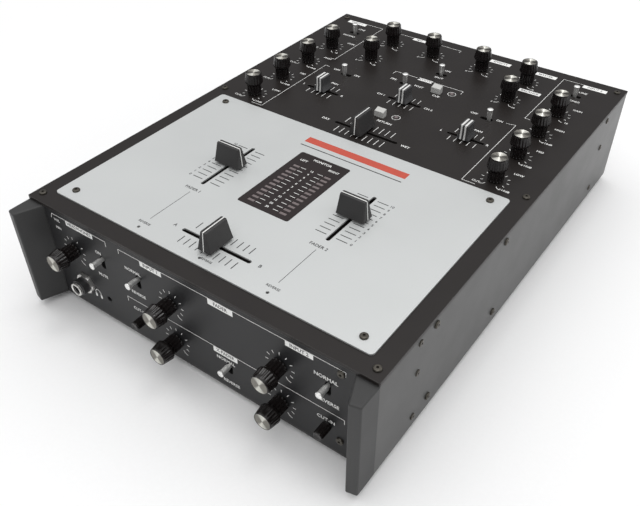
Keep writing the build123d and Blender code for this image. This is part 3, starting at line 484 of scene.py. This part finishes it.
barrelShape, ringShape = socketParts(socketSpec)
nutShape = hexRing(socketSpec)
socketPlace = placeOf("headphone_socket")
makePiece("headphone_socket_fitting", [(putAt(barrelShape[0], socketPlace), barrelShape[1], 1, None),
                                       (putAt(ringShape[0], socketPlace), ringShape[1], 0, None),
                                       (putAt(nutShape[0], socketPlace), nutShape[1], 0, None)],
          "case", [nickel, socketBlack], stands=["headphone_socket"])
print("mixer: headphone socket")

# a coloured ring round each rear socket, white above and red below
ringSpec = {"inner": 4.35, "outer": 5.15, "low": 0.78, "high": 1.9, "round": 0.25, "segments": 48}
phonoMounts = [m for m in frame["record"]["mounts"] if m["kind"] == "pin"]
topRow = max(m["pos_m"][2] for m in phonoMounts)


def collarProfile(spec):
    # a flat ring with its outer edge taken off
    inner, outer, low, high = (spec[key] for key in ("inner", "outer", "low", "high"))
    return [(inner, low), (outer, low), (outer, high - spec["round"]), (outer - spec["round"], high),
            (inner, high), (inner, low)]


collarPoints, collarFaces = turned(collarProfile(ringSpec), ringSpec["segments"])
for color, upper in ((whiteCollar, True), (redCollar, False)):
    parts = []
    for m in phonoMounts:
        if (m["pos_m"][2] > topRow - 2 * mm) == upper:
            at = ((m["pos_m"][0], rearHigh.y, m["pos_m"][2]), rearPlace[1])
            parts.append((putAt(collarPoints, at), collarFaces, 0, None))
    makePiece("white_socket_rings" if upper else "red_socket_rings", parts, "case", [color])
print("mixer: socket rings", len(phonoMounts))


def capShell(rows, corner, pointsPerCorner=5):
    # stacked rounded rectangles: each row is (half size along the travel, half size across it, height)
    turn = np.linspace(0, np.pi / 2, pointsPerCorner)
    quarter = np.concatenate([turn + k * np.pi / 2 for k in range(4)])
    signX = np.repeat([1, -1, -1, 1], pointsPerCorner)
    signY = np.repeat([1, 1, -1, -1], pointsPerCorner)
    rows = np.asarray(rows, float)
    r = np.minimum(corner, np.minimum(rows[:, :1], rows[:, 1:2]) * 0.98)
    x = signX * (rows[:, :1] - r) + r * np.cos(quarter)
    y = signY * (rows[:, 1:2] - r) + r * np.sin(quarter)
    z = np.repeat(rows[:, 2:], len(quarter), 1)
    return np.stack([x, y, z], -1).reshape(-1, 3), gridFaces(len(rows), len(quarter), closed=True)


def ribbon(path, halfWidth, thick):
    # a flat strip carried along a path of (across, height) points, as thick each way along the path's normal
    path = np.asarray(path, float)
    step = np.gradient(path, axis=0)
    normal = np.stack([-step[:, 1], step[:, 0]], 1) / np.linalg.norm(step, axis=1, keepdims=True)
    outer, inner = path + normal * thick, path - normal * thick
    x = np.array([-halfWidth, halfWidth, halfWidth, -halfWidth])
    ring = np.stack([outer, outer, inner, inner], 1)
    points = np.stack([np.repeat(x[None, :], len(path), 0), ring[..., 0], ring[..., 1]], -1).reshape(-1, 3)
    ends = [[0, 1, 2, 3], [4 * len(path) - k for k in (1, 2, 3, 4)]]
    return points, gridFaces(len(path), 4, closed=True).tolist() + ends


def shaped(s, low, high, power=1.0):
    # from low to high as s goes from 0 to 1, faster at first where the power is under 1
    return low + (high - low) * s ** power


def capStem(low):
    # the flat steel stem under a cap
    return capShell([(0.0, 0.0, -5), (2.0, 0.6, -5), (2.0, 0.6, low + 1), (0.0, 0.0, low + 1)], 0.1)


# half sizes (along the travel, across it) at the foot and the ridge, heights, and the line's half width
bigCapSpec = {"foot": (4.9, 9.8), "ridge": (2.1, 8.8), "low": 1.3, "high": 14.3, "corner": 0.7,
              "line": 0.36, "groove": 0.85}
smallCapSpec = {"foot": (4.8, 5.7), "ridge": (3.2, 5.2), "low": 1.3, "high": 12.0, "corner": 0.6,
                "line": 0.62, "lineAt": 1.35, "waist": 0.45}


def bigCapParts(spec):
    # the sides lean in a little faster near the foot, and the edges under and over are rounded
    s = np.linspace(0, 1, 14)
    a = shaped(s, spec["foot"][0], spec["ridge"][0], 0.92)
    b = shaped(s, spec["foot"][1], spec["ridge"][1], 0.9)
    z = shaped(s, spec["low"] + 0.35, spec["high"] - 0.3)
    rows = [(0.0, 0.0, spec["low"]), (a[0] - 0.35, b[0] - 0.35, spec["low"])] + list(zip(a, b, z))
    rows += [(a[-1] - 0.12, b[-1] - 0.1, spec["high"] - 0.08), (a[-1] - 0.4, b[-1] - 0.35, spec["high"]),
             (0.0, 0.0, spec["high"])]
    shell = capShell(rows, spec["corner"])
    t = np.linspace(0.0, 0.94, 8)
    up = np.stack([shaped(t, spec["foot"][1], spec["ridge"][1], 0.9) + 0.02,
                   shaped(t, spec["low"] + 0.35, spec["high"] - 0.3)], 1)
    bend = np.array([(-0.02, -0.35), (-0.2, -0.08), (-0.55, 0.02)]) + (spec["ridge"][1], spec["high"])
    half = np.concatenate([up, bend])
    path = np.concatenate([half, half[::-1] * (-1, 1)])
    # the second, wider strip is dark: painted shade standing in for the groove round the white line
    lines = [ribbon(path, spec["line"], 0.06), ribbon(path, spec["groove"], 0.03)]
    return shell, lines, capStem(spec["low"])


def smallCapParts(spec):
    # upright above the waist and flared below it; two lines run over the top and down both ends
    s = np.linspace(0, 1, 16)
    flare = np.clip(1 - s / spec["waist"], 0, 1) ** 1.4
    a = spec["ridge"][0] + (spec["foot"][0] - spec["ridge"][0]) * flare
    b = spec["ridge"][1] + (spec["foot"][1] - spec["ridge"][1]) * flare
    z = shaped(s, spec["low"] + 0.3, spec["high"] - 0.3)
    rows = [(0.0, 0.0, spec["low"]), (a[0] - 0.3, b[0] - 0.3, spec["low"])] + list(zip(a, b, z))
    rows += [(a[-1] - 0.12, b[-1] - 0.1, spec["high"] - 0.08), (a[-1] - 0.35, b[-1] - 0.35, spec["high"]),
             (0.0, 0.0, spec["high"])]
    shell = capShell(rows, spec["corner"])
    bend = np.array([(-0.03, -0.3), (-0.2, -0.06), (-0.5, 0.02)]) + (b[-1], spec["high"])
    half = np.concatenate([np.stack([b + 0.02, z], 1)[:-1], bend])
    points, faces = ribbon(np.concatenate([half, half[::-1] * (-1, 1)]), spec["line"], 0.06)
    lines = [(points + (side * spec["lineAt"], 0, 0), faces) for side in (-1, 1)]
    return shell, lines, capStem(spec["low"])


smallFaders = ("pan_fader_1_cap", "monitor_mix_fader_cap", "pan_fader_2_cap")
capNodes = {j["child"]: j["axis"] for j in joints if j["child"].endswith("_cap")}
for nodeName, axis in capNodes.items():
    small = nodeName in smallFaders
    spec, material = (smallCapSpec, smallCapPlastic) if small else (bigCapSpec, capPlastic)
    shell, lines, stem = smallCapParts(spec) if small else bigCapParts(spec)
    middle = nodeMiddle(nodeName)
    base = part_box(nodeName)[1].z - spec["high"] * mm
    along = np.array(axis, float)
    place = ((middle.x, middle.y, base), (along, np.cross((0, 0, 1), along), (0, 0, 1)))
    parts = [(putAt(shell[0], place), shell[1], 0, None), (putAt(stem[0], place), stem[1], 0, None)]
    # on a big cap the third material, innerBlack, colours that strip of painted groove shade
    parts += [(putAt(p, place), f, 1 if small else 1 + k, None) for k, (p, f) in enumerate(lines)]
    makePiece(nodeName + "_grip", parts, nodeName, [material, whiteInlay, innerBlack],
              stands=[nodeName])
print("mixer: fader caps", len(capNodes))


# the ink stands a little off the paint; widths and the scale round a knob are in millimetres
printSpec = {"thick": 0.03, "gap": 0.004, "line": 0.32, "tick": 0.42, "scaleInner": 7.6, "scaleTicks": 11,
             "scaleTurn": 150, "hookOut": 2.2, "hookDown": 0.9}
letterSpec = {"extrude": 0.01, "resolution": 2, "fatten": 0.012, "capital": 0.7}  # shares of the letter size


def strips(segments, width):
    # each segment is (x0, y0, x1, y1): a thin closed bar of that width along the line between its two ends
    seg = np.asarray(segments, float).reshape(-1, 4)
    run = seg[:, 2:] - seg[:, :2]
    side = np.stack([-run[:, 1], run[:, 0]], 1) / np.linalg.norm(run, axis=1, keepdims=True) * width / 2
    flat = np.stack([seg[:, :2] - side, seg[:, 2:] - side, seg[:, 2:] + side, seg[:, :2] + side], 1)
    low = np.concatenate([flat, np.full(flat.shape[:2] + (1,), printSpec["gap"])], 2)
    high = low + (0, 0, printSpec["thick"])
    points = np.concatenate([low, high], 1).reshape(-1, 3)
    box = np.array([(3, 2, 1, 0), (4, 5, 6, 7), (0, 1, 5, 4), (1, 2, 6, 5), (2, 3, 7, 6), (3, 0, 4, 7)])
    faces = (np.arange(len(seg))[:, None, None] * 8 + box[None]).reshape(-1, 4)
    return points, faces


def patch(x0, y0, x1, y1):
    # a filled rectangle, as one wide bar
    return strips([(x0, (y0 + y1) / 2, x1, (y0 + y1) / 2)], abs(y1 - y0))


wordShapes = {}


def word(text, x, y, height, lift=0.0):
    # plain capitals and figures, centred on (x, y), as thin closed letters
    if text not in wordShapes:
        curve = bpy.data.curves.new("letters", "FONT")
        curve.body, curve.align_x, curve.align_y = text, "CENTER", "CENTER"
        curve.extrude, curve.resolution_u, curve.offset = (letterSpec[key] for key in
                                                           ("extrude", "resolution", "fatten"))
        holder = bpy.data.objects.new("letters", curve)
        bpy.context.scene.collection.objects.link(holder)
        bpy.context.view_layer.update()
        mesh = bpy.data.meshes.new_from_object(holder.evaluated_get(bpy.context.evaluated_depsgraph_get()))
        flat = np.zeros(len(mesh.vertices) * 3)
        mesh.vertices.foreach_get("co", flat)
        wordShapes[text] = (flat.reshape(-1, 3), [list(f.vertices) for f in mesh.polygons])
        bpy.data.objects.remove(holder)
        bpy.data.curves.remove(curve)
    points, faces = wordShapes[text]
    size = height / letterSpec["capital"]
    scaled = points * (size, size, printSpec["thick"] / (2 * letterSpec["extrude"]))
    return scaled + (x, y, lift + printSpec["gap"] + printSpec["thick"] / 2), faces


def knobScale(x, y, outer):
    # ticks round a knob over 300 degrees, with a small bent mark at both ends
    turn = printSpec["scaleTurn"]
    angle = np.radians(np.linspace(-turn, turn, printSpec["scaleTicks"]))
    spoke = np.stack([np.sin(angle), np.cos(angle)], 1)
    centre = np.array([x, y])
    segments = np.concatenate([centre + spoke * printSpec["scaleInner"], centre + spoke * outer], 1)
    hooks = []
    for side in (-1, 1):
        tip = centre + (side * math.sin(math.radians(turn)) * outer, math.cos(math.radians(turn)) * outer)
        hooks.append((*tip, tip[0] + side * printSpec["hookOut"], tip[1] - printSpec["hookDown"]))
    return np.concatenate([segments, np.array(hooks)])


def centred(count, step, shift=0.0):
    # evenly spaced marks about a middle
    return (np.arange(count) - (count - 1) / 2) * step + shift


def alongPath(points):
    # a segment from each point of a path to the next
    return np.concatenate([points[:-1], points[1:]], 1)


def ladder(x, y, places, inner, outer, upright):
    # ticks on both sides of a fader's slot, along x for an upright slot and along y for a level one
    marks = []
    for side in (-1, 1):
        for at in places:
            marks.append((x + side * inner, y + at, x + side * outer, y + at) if upright
                         else (x + at, y + side * inner, x + at, y + side * outer))
    return marks


def printTags(tags, height, light, dark):
    # filled tags in one ink, with their words in the other on top
    for x0, y0, x1, y1, text in tags:
        light.append(patch(x0, y0, x1, y1))
        dark.append(word(text, (x0 + x1) / 2, (y0 + y1) / 2, height, lift=printSpec["thick"]))


def printPiece(name, parts, place, material):
    joined = [(putAt(p, place), f, 0, None) for p, f in parts]
    makePiece(name, joined, "case", [material], smooth=False)


def offsetOf(node, place):
    # a control's middle, in millimetres on a place's face
    middle = np.array(nodeMiddle(node)) - np.array(place[0])
    return middle @ np.array(place[1], float).T / mm


topKnobs = [n for n in knobNodes if nodeMiddle(n).z > topFace - faceReach]
frontKnobs = [n for n in knobNodes if n not in topKnobs]

# black top plate, white ink: distances from the centre line and from the plate's front edge
topPrint = {
    "lines": [(-91.3, 169.8, -82.0, 169.8), (-82.0, 169.8, -82.0, 250.4), (-82.0, 250.4, -77.6, 249.4),
              (-86.2, 262.8, -82.2, 262.8), (-82.2, 262.8, -82.2, 335.6), (-82.2, 335.6, -98.0, 335.6),
              (89.5, 169.3, 80.2, 169.3), (80.2, 169.3, 80.2, 250.2), (80.2, 250.2, 73.4, 249.0),
              (85.0, 263.2, 81.0, 263.2), (81.0, 263.2, 81.0, 335.8), (81.0, 335.8, 97.0, 335.8),
              (-68.5, 331.6, -68.5, 335.2), (-68.5, 335.2, -50.4, 335.2), (-38.5, 335.2, -6.6, 335.2),
              (-6.6, 335.2, -6.6, 331.6), (-30.9, 268.6, -30.9, 273.2), (-30.9, 273.2, -10.2, 273.2),
              (1.6, 273.2, 27.6, 273.2), (27.6, 273.2, 27.6, 268.6),
              (10.6, 331.6, 10.6, 334.4), (10.6, 334.4, 20.8, 334.4), (49.0, 331.6, 49.0, 334.4),
              (49.0, 334.4, 58.6, 334.4)],
    "tags": [(-116.0, 331.0, -98.0, 335.6, "INPUT 1"), (97.0, 331.2, 115.0, 335.8, "INPUT 2"),
             (-50.4, 331.4, -38.5, 335.55, "MIC"), (20.8, 331.0, 38.0, 335.8, "EFFECTS"),
             (58.6, 331.0, 76.0, 335.8, "MASTER"), (59.6, 299.0, 76.4, 303.4, "BALANCE"),
             (-10.2, 270.6, 1.6, 274.4, "MONITOR")],
    "words": [("LINE", -96.0, 323.5), ("PHONO", -98.5, 307.2), ("LINE", 101.0, 322.6), ("PHONO", 98.5, 306.8),
              ("OFF", -70.2, 248.6), ("ON", -51.4, 248.6), ("OFF", 48.7, 249.0), ("ON", 68.4, 249.2),
              ("PRE", -25.6, 261.0), ("POST", -3.6, 261.0), ("SPLIT", 1.6, 282.6), ("ON", 2.0, 296.4),
              ("CUE", 14.0, 255.4), ("DRY", -33.0, 181.6), ("WET", 31.8, 181.4), ("RETURN", 3.6, 200.6),
              ("L", -77.0, 215.2), ("R", -42.4, 215.0), ("PAN", -57.8, 228.2), ("L", 41.0, 214.6),
              ("R", 75.6, 214.8), ("PAN", 62.4, 228.2), ("CH 1", -20.4, 234.6), ("CH 2", 19.4, 234.6)],
    "wordHeight": 2.2, "tagHeight": 2.2, "scaleOuter": 9.3,
    "effectY": 182.0, "effectTicks": (9, 4.64, -0.7), "effectReach": (3.7, 10.8),
    "smallTicks": (5, 4.8), "smallReach": (3.1, 8.5),
    "lamps": [(22.4, 264.8), (6.8, 211.2)], "lampRadius": 3.0, "lampLine": 0.35,
}
# the words at a knob of either input, then where they stand from its middle and how high they are
knobWords = {"gain": ("GAIN", "10", "0"), "treble": ("HIGH", "+10dB", "CUT"),
             "middle": ("MID", "+10dB", "CUT"), "bass": ("LOW", "+10dB", "CUT")}
knobWordPlaces = ((10.0, 13.0, 2.0), (9.6, -8.2, 1.9), (-9.4, -8.2, 1.9))
plainKnobWords = (("10", 8.4, -9.0, 1.8), ("0", -8.4, -9.0, 1.8))
whiteParts, darkParts = [], []
for nodeName in topKnobs:
    kx, ky, _ = offsetOf(nodeName, topPlace)
    whiteParts.append(strips(knobScale(kx, ky, topPrint["scaleOuter"]), printSpec["tick"]))
    marks = plainKnobWords
    if nodeName.startswith(("left", "right")):
        marks = [(text, *at) for text, at in zip(knobWords[nodeName.split("_")[1]], knobWordPlaces)]
    whiteParts += [word(text, kx + dx, ky + dy, high) for text, dx, dy, high in marks]
whiteParts.append(strips(topPrint["lines"], printSpec["line"]))
printTags(topPrint["tags"], topPrint["tagHeight"], whiteParts, darkParts)
whiteParts += [word(text, wx, wy, topPrint["wordHeight"]) for text, wx, wy in topPrint["words"]]
whiteParts.append(strips(ladder(0, topPrint["effectY"], centred(*topPrint["effectTicks"]),
                                *topPrint["effectReach"], False), printSpec["tick"]))
for nodeName in smallFaders:
    fx, fy, _ = offsetOf(nodeName, topPlace)
    whiteParts.append(strips(ladder(fx, fy, centred(*topPrint["smallTicks"]), *topPrint["smallReach"], False),
                             printSpec["tick"]))
lampRing, angle = [], np.linspace(0, 2 * np.pi, 25)
for lampX, lampY in topPrint["lamps"]:
    circle = np.stack([lampX + topPrint["lampRadius"] * np.cos(angle),
                       lampY + topPrint["lampRadius"] * np.sin(angle)], 1)
    lampRing += list(alongPath(circle))
whiteParts.append(strips(lampRing, topPrint["lampLine"]))
printPiece("top_plate_printing", whiteParts, topPlace, whiteInk)
printPiece("top_tag_words", darkParts, topPlace, blackInk)

# pale plate, black ink
palePrint = {
    "column": 47.6, "lineTicks": 73.9 + 4.35 * np.arange(11), "lineReach": (3.4, 11.0), "lineTick": 0.6,
    "numberOut": 13.6, "numberHeight": 2.0, "leader": (26.0, 59.4),
    "faderWord": (-0.6, 62.6, 2.3), "reverseWord": (0.0, 21.4, 1.7),
    "crossY": 30.4, "crossTicks": (10, 4.4), "crossReach": (4.4, 10.6), "crossTick": 0.58,
    "words": [("REVERSE", 4.6, 17.0, 1.5), ("A", -31.5, 30.4, 2.4), ("B", 31.5, 30.4, 2.4)],
    "rule": (-26.0, 147.2, 52.0, 153.6), "fineRule": (-26.0, 142.6, 52.0, 143.4),
}
paleParts = []
for channel, side in ((1, -1), (2, 1)):
    column = side * palePrint["column"]
    paleParts.append(strips(ladder(column, 0, palePrint["lineTicks"], *palePrint["lineReach"], True),
                            palePrint["lineTick"]))
    paleParts += [word(str(number), column + side * palePrint["numberOut"], at, palePrint["numberHeight"])
                  for number, at in enumerate(palePrint["lineTicks"])]
    paleParts.append(strips([(column, palePrint["leader"][0], column, palePrint["leader"][1])],
                            printSpec["line"]))
    for text, key in ((f"FADER {channel}", "faderWord"), ("REVERSE", "reverseWord")):
        dx, at, high = palePrint[key]
        paleParts.append(word(text, column + dx, at, high))
paleParts.append(strips(ladder(0, palePrint["crossY"], centred(*palePrint["crossTicks"]),
                               *palePrint["crossReach"], False), palePrint["crossTick"]))
paleParts += [word(*entry) for entry in palePrint["words"]]
printPiece("fader_plate_printing", paleParts, palePlace, blackInk)
printPiece("fader_plate_rule", [patch(*palePrint["rule"])], palePlace, redInk)
printPiece("fader_plate_fine_rule", [patch(*palePrint["fineRule"])], palePlace, blackInk)

# meter: a scale between the two rows of bars
meterPrint = {
    "first": 75.0, "step": 4.1, "tickFrom": 8.6, "tickTo": 4.6, "tick": 0.35, "labelHeight": 1.7,
    "labels": ("30", "20", "15", "10", "7", "5", "3", "0", "3", "6", "9", "12"),
    "words": [("LEFT", -11.8, 127.6, 1.9), ("RIGHT", 11.6, 127.6, 1.9), ("MONITOR", 0, 131.8, 2.1)],
}
barPlaces = meterPrint["first"] + meterPrint["step"] * np.arange(len(meterPrint["labels"]))
meterParts = []
for side in (-1, 1):
    start, end = side * meterPrint["tickFrom"], side * meterPrint["tickTo"]
    meterParts.append(strips([(start, at, end, at) for at in barPlaces], meterPrint["tick"]))
meterParts += [word(label, 0.0, at, meterPrint["labelHeight"])
               for label, at in zip(meterPrint["labels"], barPlaces)]
meterParts += [word(*entry) for entry in meterPrint["words"]]
printPiece("meter_printing", meterParts, palePlace, whiteInk)

# front panel: distances from the centre line and down from the top plate's face
frontPrint = {
    "lines": [(-108.6, -9.2, -107.4, -5.6), (-107.4, -5.6, -60.0, -5.6), (-60.0, -5.6, -60.0, -9.4),
              (-49.2, -9.2, -49.2, -5.9), (-49.2, -5.9, 107.9, -5.9), (107.9, -5.9, 107.9, -9.2),
              (-50.0, -46.4, -50.0, -42.6), (-50.0, -42.6, 107.9, -42.3), (107.9, -42.3, 107.9, -45.6)],
    "tags": [(-95.0, -9.3, -71.4, -5.6, "HEADPHONES"), (-32.0, -9.7, -15.2, -5.9, "INPUT 1"),
             (19.3, -10.2, 36.8, -6.2, "FADER"), (71.3, -9.6, 88.7, -6.2, "INPUT 2"),
             (19.0, -46.6, 36.6, -42.4, "X-FADER")],
    "words": [("ON", -69.4, -18.4, 2.2), ("MUTE", -69.6, -36.4, 2.2), ("NORMAL", -40.0, -18.0, 2.2),
              ("REVERSE", -38.8, -35.4, 2.2), ("CUT-IN", -41.0, -49.8, 2.2), ("NORMAL", 27.6, -49.8, 2.3),
              ("REVERSE", 30.2, -67.2, 2.3), ("NORMAL", 96.2, -17.8, 2.5), ("REVERSE", 97.8, -35.4, 2.5),
              ("CUT-IN", 96.4, -49.9, 2.4), ("MIN", -104.0, -15.4, 1.9), ("VOL", -103.8, -9.4, 1.9)],
    "tagHeight": 2.3, "scaleOuter": 9.6,
    # the headphone sign is a band and two ears
    "signMiddle": (-79.9, -56.6), "signRadii": (2.4, 2.9), "signLine": 0.45,
    "signEars": [(-82.2, -57.2, -82.2, -60.2), (-77.6, -57.2, -77.6, -60.2)], "signEar": 1.5,
}
frontParts, frontDark = [], []
for nodeName in frontKnobs:
    kx, ky, _ = offsetOf(nodeName, frontPlace)
    frontParts.append(strips(knobScale(kx, ky, frontPrint["scaleOuter"]), printSpec["tick"]))
frontParts.append(strips(frontPrint["lines"], printSpec["line"]))
printTags(frontPrint["tags"], frontPrint["tagHeight"], frontParts, frontDark)
frontParts += [word(*entry) for entry in frontPrint["words"]]
arc = np.radians(np.linspace(-20, 200, 15))
(signX, signY), (across, upward) = frontPrint["signMiddle"], frontPrint["signRadii"]
band = np.stack([signX + across * np.cos(arc), signY + upward * np.sin(arc)], 1)
frontParts.append(strips(alongPath(band), frontPrint["signLine"]))
frontParts.append(strips(frontPrint["signEars"], frontPrint["signEar"]))
printPiece("front_panel_printing", frontParts, frontPlace, whiteInk)
printPiece("front_tag_words", frontDark, frontPlace, blackInk)

# rear panel: distances as seen from behind, up from the bottom
rearPrint = {
    "rule": (-4.0, 52.6, -112.0, 52.6), "wordHeight": 2.2,
    "words": [("LINE 1", -8, 49.4), ("PHONO 1", -27, 49.4), ("LINE 2", -46, 49.4), ("PHONO 2", -65, 49.4),
              ("REC", -84, 49.4), ("MASTER", -103, 49.4), ("BOOTH", 34, 49.4), ("MIC", 14, 49.4),
              ("MAINS", 92, 54.6), ("L", -116, 38), ("R", -116, 20)],
}
rearParts = [strips([rearPrint["rule"]], printSpec["line"])]
rearParts += [word(text, wx, wy, rearPrint["wordHeight"]) for text, wx, wy in rearPrint["words"]]
printPiece("rear_panel_printing", rearParts, rearPlace, whiteInk)
print("mixer: printing is on")

# the floor's half width and how far it lies below the feet, in metres, and the sky's colours
stageSpec = {"floor": 3.2, "drop": 0.0004, "floorColor": (0.93, 0.93, 0.93), "world": 1.5,
             "horizon": (0.16, 0.16, 0.165, 1.0), "zenith": (1.0, 1.0, 1.0, 1.0), "levels": (0.48, 0.92),
             "wall": (0.66, 0.66, 0.66, 1.0)}
floorMaterial = finish("floorPaper", stageSpec["floorColor"], 0.7, grain=500.0, bump=0.05, shade=0.01,
                       blotch=3.0)
reach, drop = stageSpec["floor"], stageSpec["drop"]
floorMesh = bpy.data.meshes.new("floor")
floorMesh.from_pydata([(x * reach, y * reach, -drop) for x, y in ((-1, -1), (1, -1), (1, 1), (-1, 1))],
                      [], [(0, 1, 2, 3)])
floorMesh.materials.append(floorMaterial)
floor = bpy.data.objects.new("floor", floorMesh)
bpy.context.scene.collection.objects.link(floor)

world = bpy.data.worlds.new("studio")
world.use_nodes = True
sky = world.node_tree
direction = addNode(sky, "ShaderNodeTexCoord")
apart = addNode(sky, "ShaderNodeSeparateXYZ")
height = addNode(sky, "ShaderNodeValToRGB")
for element, level, color in zip(height.color_ramp.elements, stageSpec["levels"],
                                 (stageSpec["horizon"], stageSpec["zenith"])):
    element.position, element.color = level, color
sky.links.new(direction.outputs["Generated"], apart.inputs[0])
sky.links.new(apart.outputs["Z"], height.inputs["Fac"])
plain = addNode(sky, "ShaderNodeLightPath")
seen = addNode(sky, "ShaderNodeMix", data_type="RGBA")  # the studio wall itself reads plain white
seen.inputs[7].default_value = stageSpec["wall"]
sky.links.new(plain.outputs["Is Camera Ray"], seen.inputs["Factor"])
sky.links.new(height.outputs["Color"], seen.inputs[6])
sky.links.new(seen.outputs[2], sky.nodes["Background"].inputs["Color"])
sky.nodes["Background"].inputs["Strength"].default_value = stageSpec["world"]
bpy.context.scene.world = world

lightSpec = {  # place, size and power of each soft light; all look at the middle of the mixer
    "behind": ((0.5, 1.3, 1.1), 1.0, 1.6),
    "left": ((-1.3, -0.3, 1.0), 0.9, 2.0),
    "over": ((0.0, 0.25, 1.6), 0.4, 2.6),
    "right": ((1.3, 0.6, 0.6), 0.9, 2.8),
    "front": ((0.5, -1.5, 1.3), 1.2, 4.2),
}


def lookAt(place, target):
    # a turn whose third axis points from the target back to the place
    back = np.array(place, float) - target
    back /= np.linalg.norm(back)
    right = np.cross((0, 0, 1), back)
    right /= np.linalg.norm(right)
    return Matrix(np.stack([right, np.cross(back, right), back], 1).tolist())


mixerMiddle = np.array(cadBox[0]) / 2 + np.array(cadBox[1]) / 2
for lightName, (lightPlace, size, power) in lightSpec.items():
    light = bpy.data.lights.new(lightName, "AREA")
    light.shape, light.size, light.energy = "DISK", size, power
    lamp = bpy.data.objects.new(lightName, light)
    lamp.matrix_world = Matrix.Translation(lightPlace) @ lookAt(lightPlace, mixerMiddle).to_4x4()
    bpy.context.scene.collection.objects.link(lamp)

# metres, degrees and millimetres of lens
cameraSpec = {"place": (0.2335, -0.3609, 0.3378), "heading": -36.04, "down": 39.96, "roll": -0.26,
              "lens": 41.4, "sensor": 36.0, "nearest": 0.01}
heading, down, roll = (math.radians(cameraSpec[key]) for key in ("heading", "down", "roll"))
forward = np.array([math.sin(heading) * math.cos(down), math.cos(heading) * math.cos(down), -math.sin(down)])
level = np.array([math.cos(heading), -math.sin(heading), 0.0])
upright = np.cross(level, forward)
tilted = level * math.cos(roll) + upright * math.sin(roll)
upward = upright * math.cos(roll) - level * math.sin(roll)
view = bpy.data.cameras.new("view")
view.lens, view.sensor_width, view.clip_start = (cameraSpec[key] for key in ("lens", "sensor", "nearest"))
camera = bpy.data.objects.new("camera", view)
turn = Matrix(np.stack([tilted, upward, -forward], 1).tolist()).to_4x4()
camera.matrix_world = Matrix.Translation(cameraSpec["place"]) @ turn
bpy.context.scene.collection.objects.link(camera)
bpy.context.scene.camera = camera
bpy.context.scene.view_settings.view_transform = "Standard"
print("mixer: floor, light and camera are set")
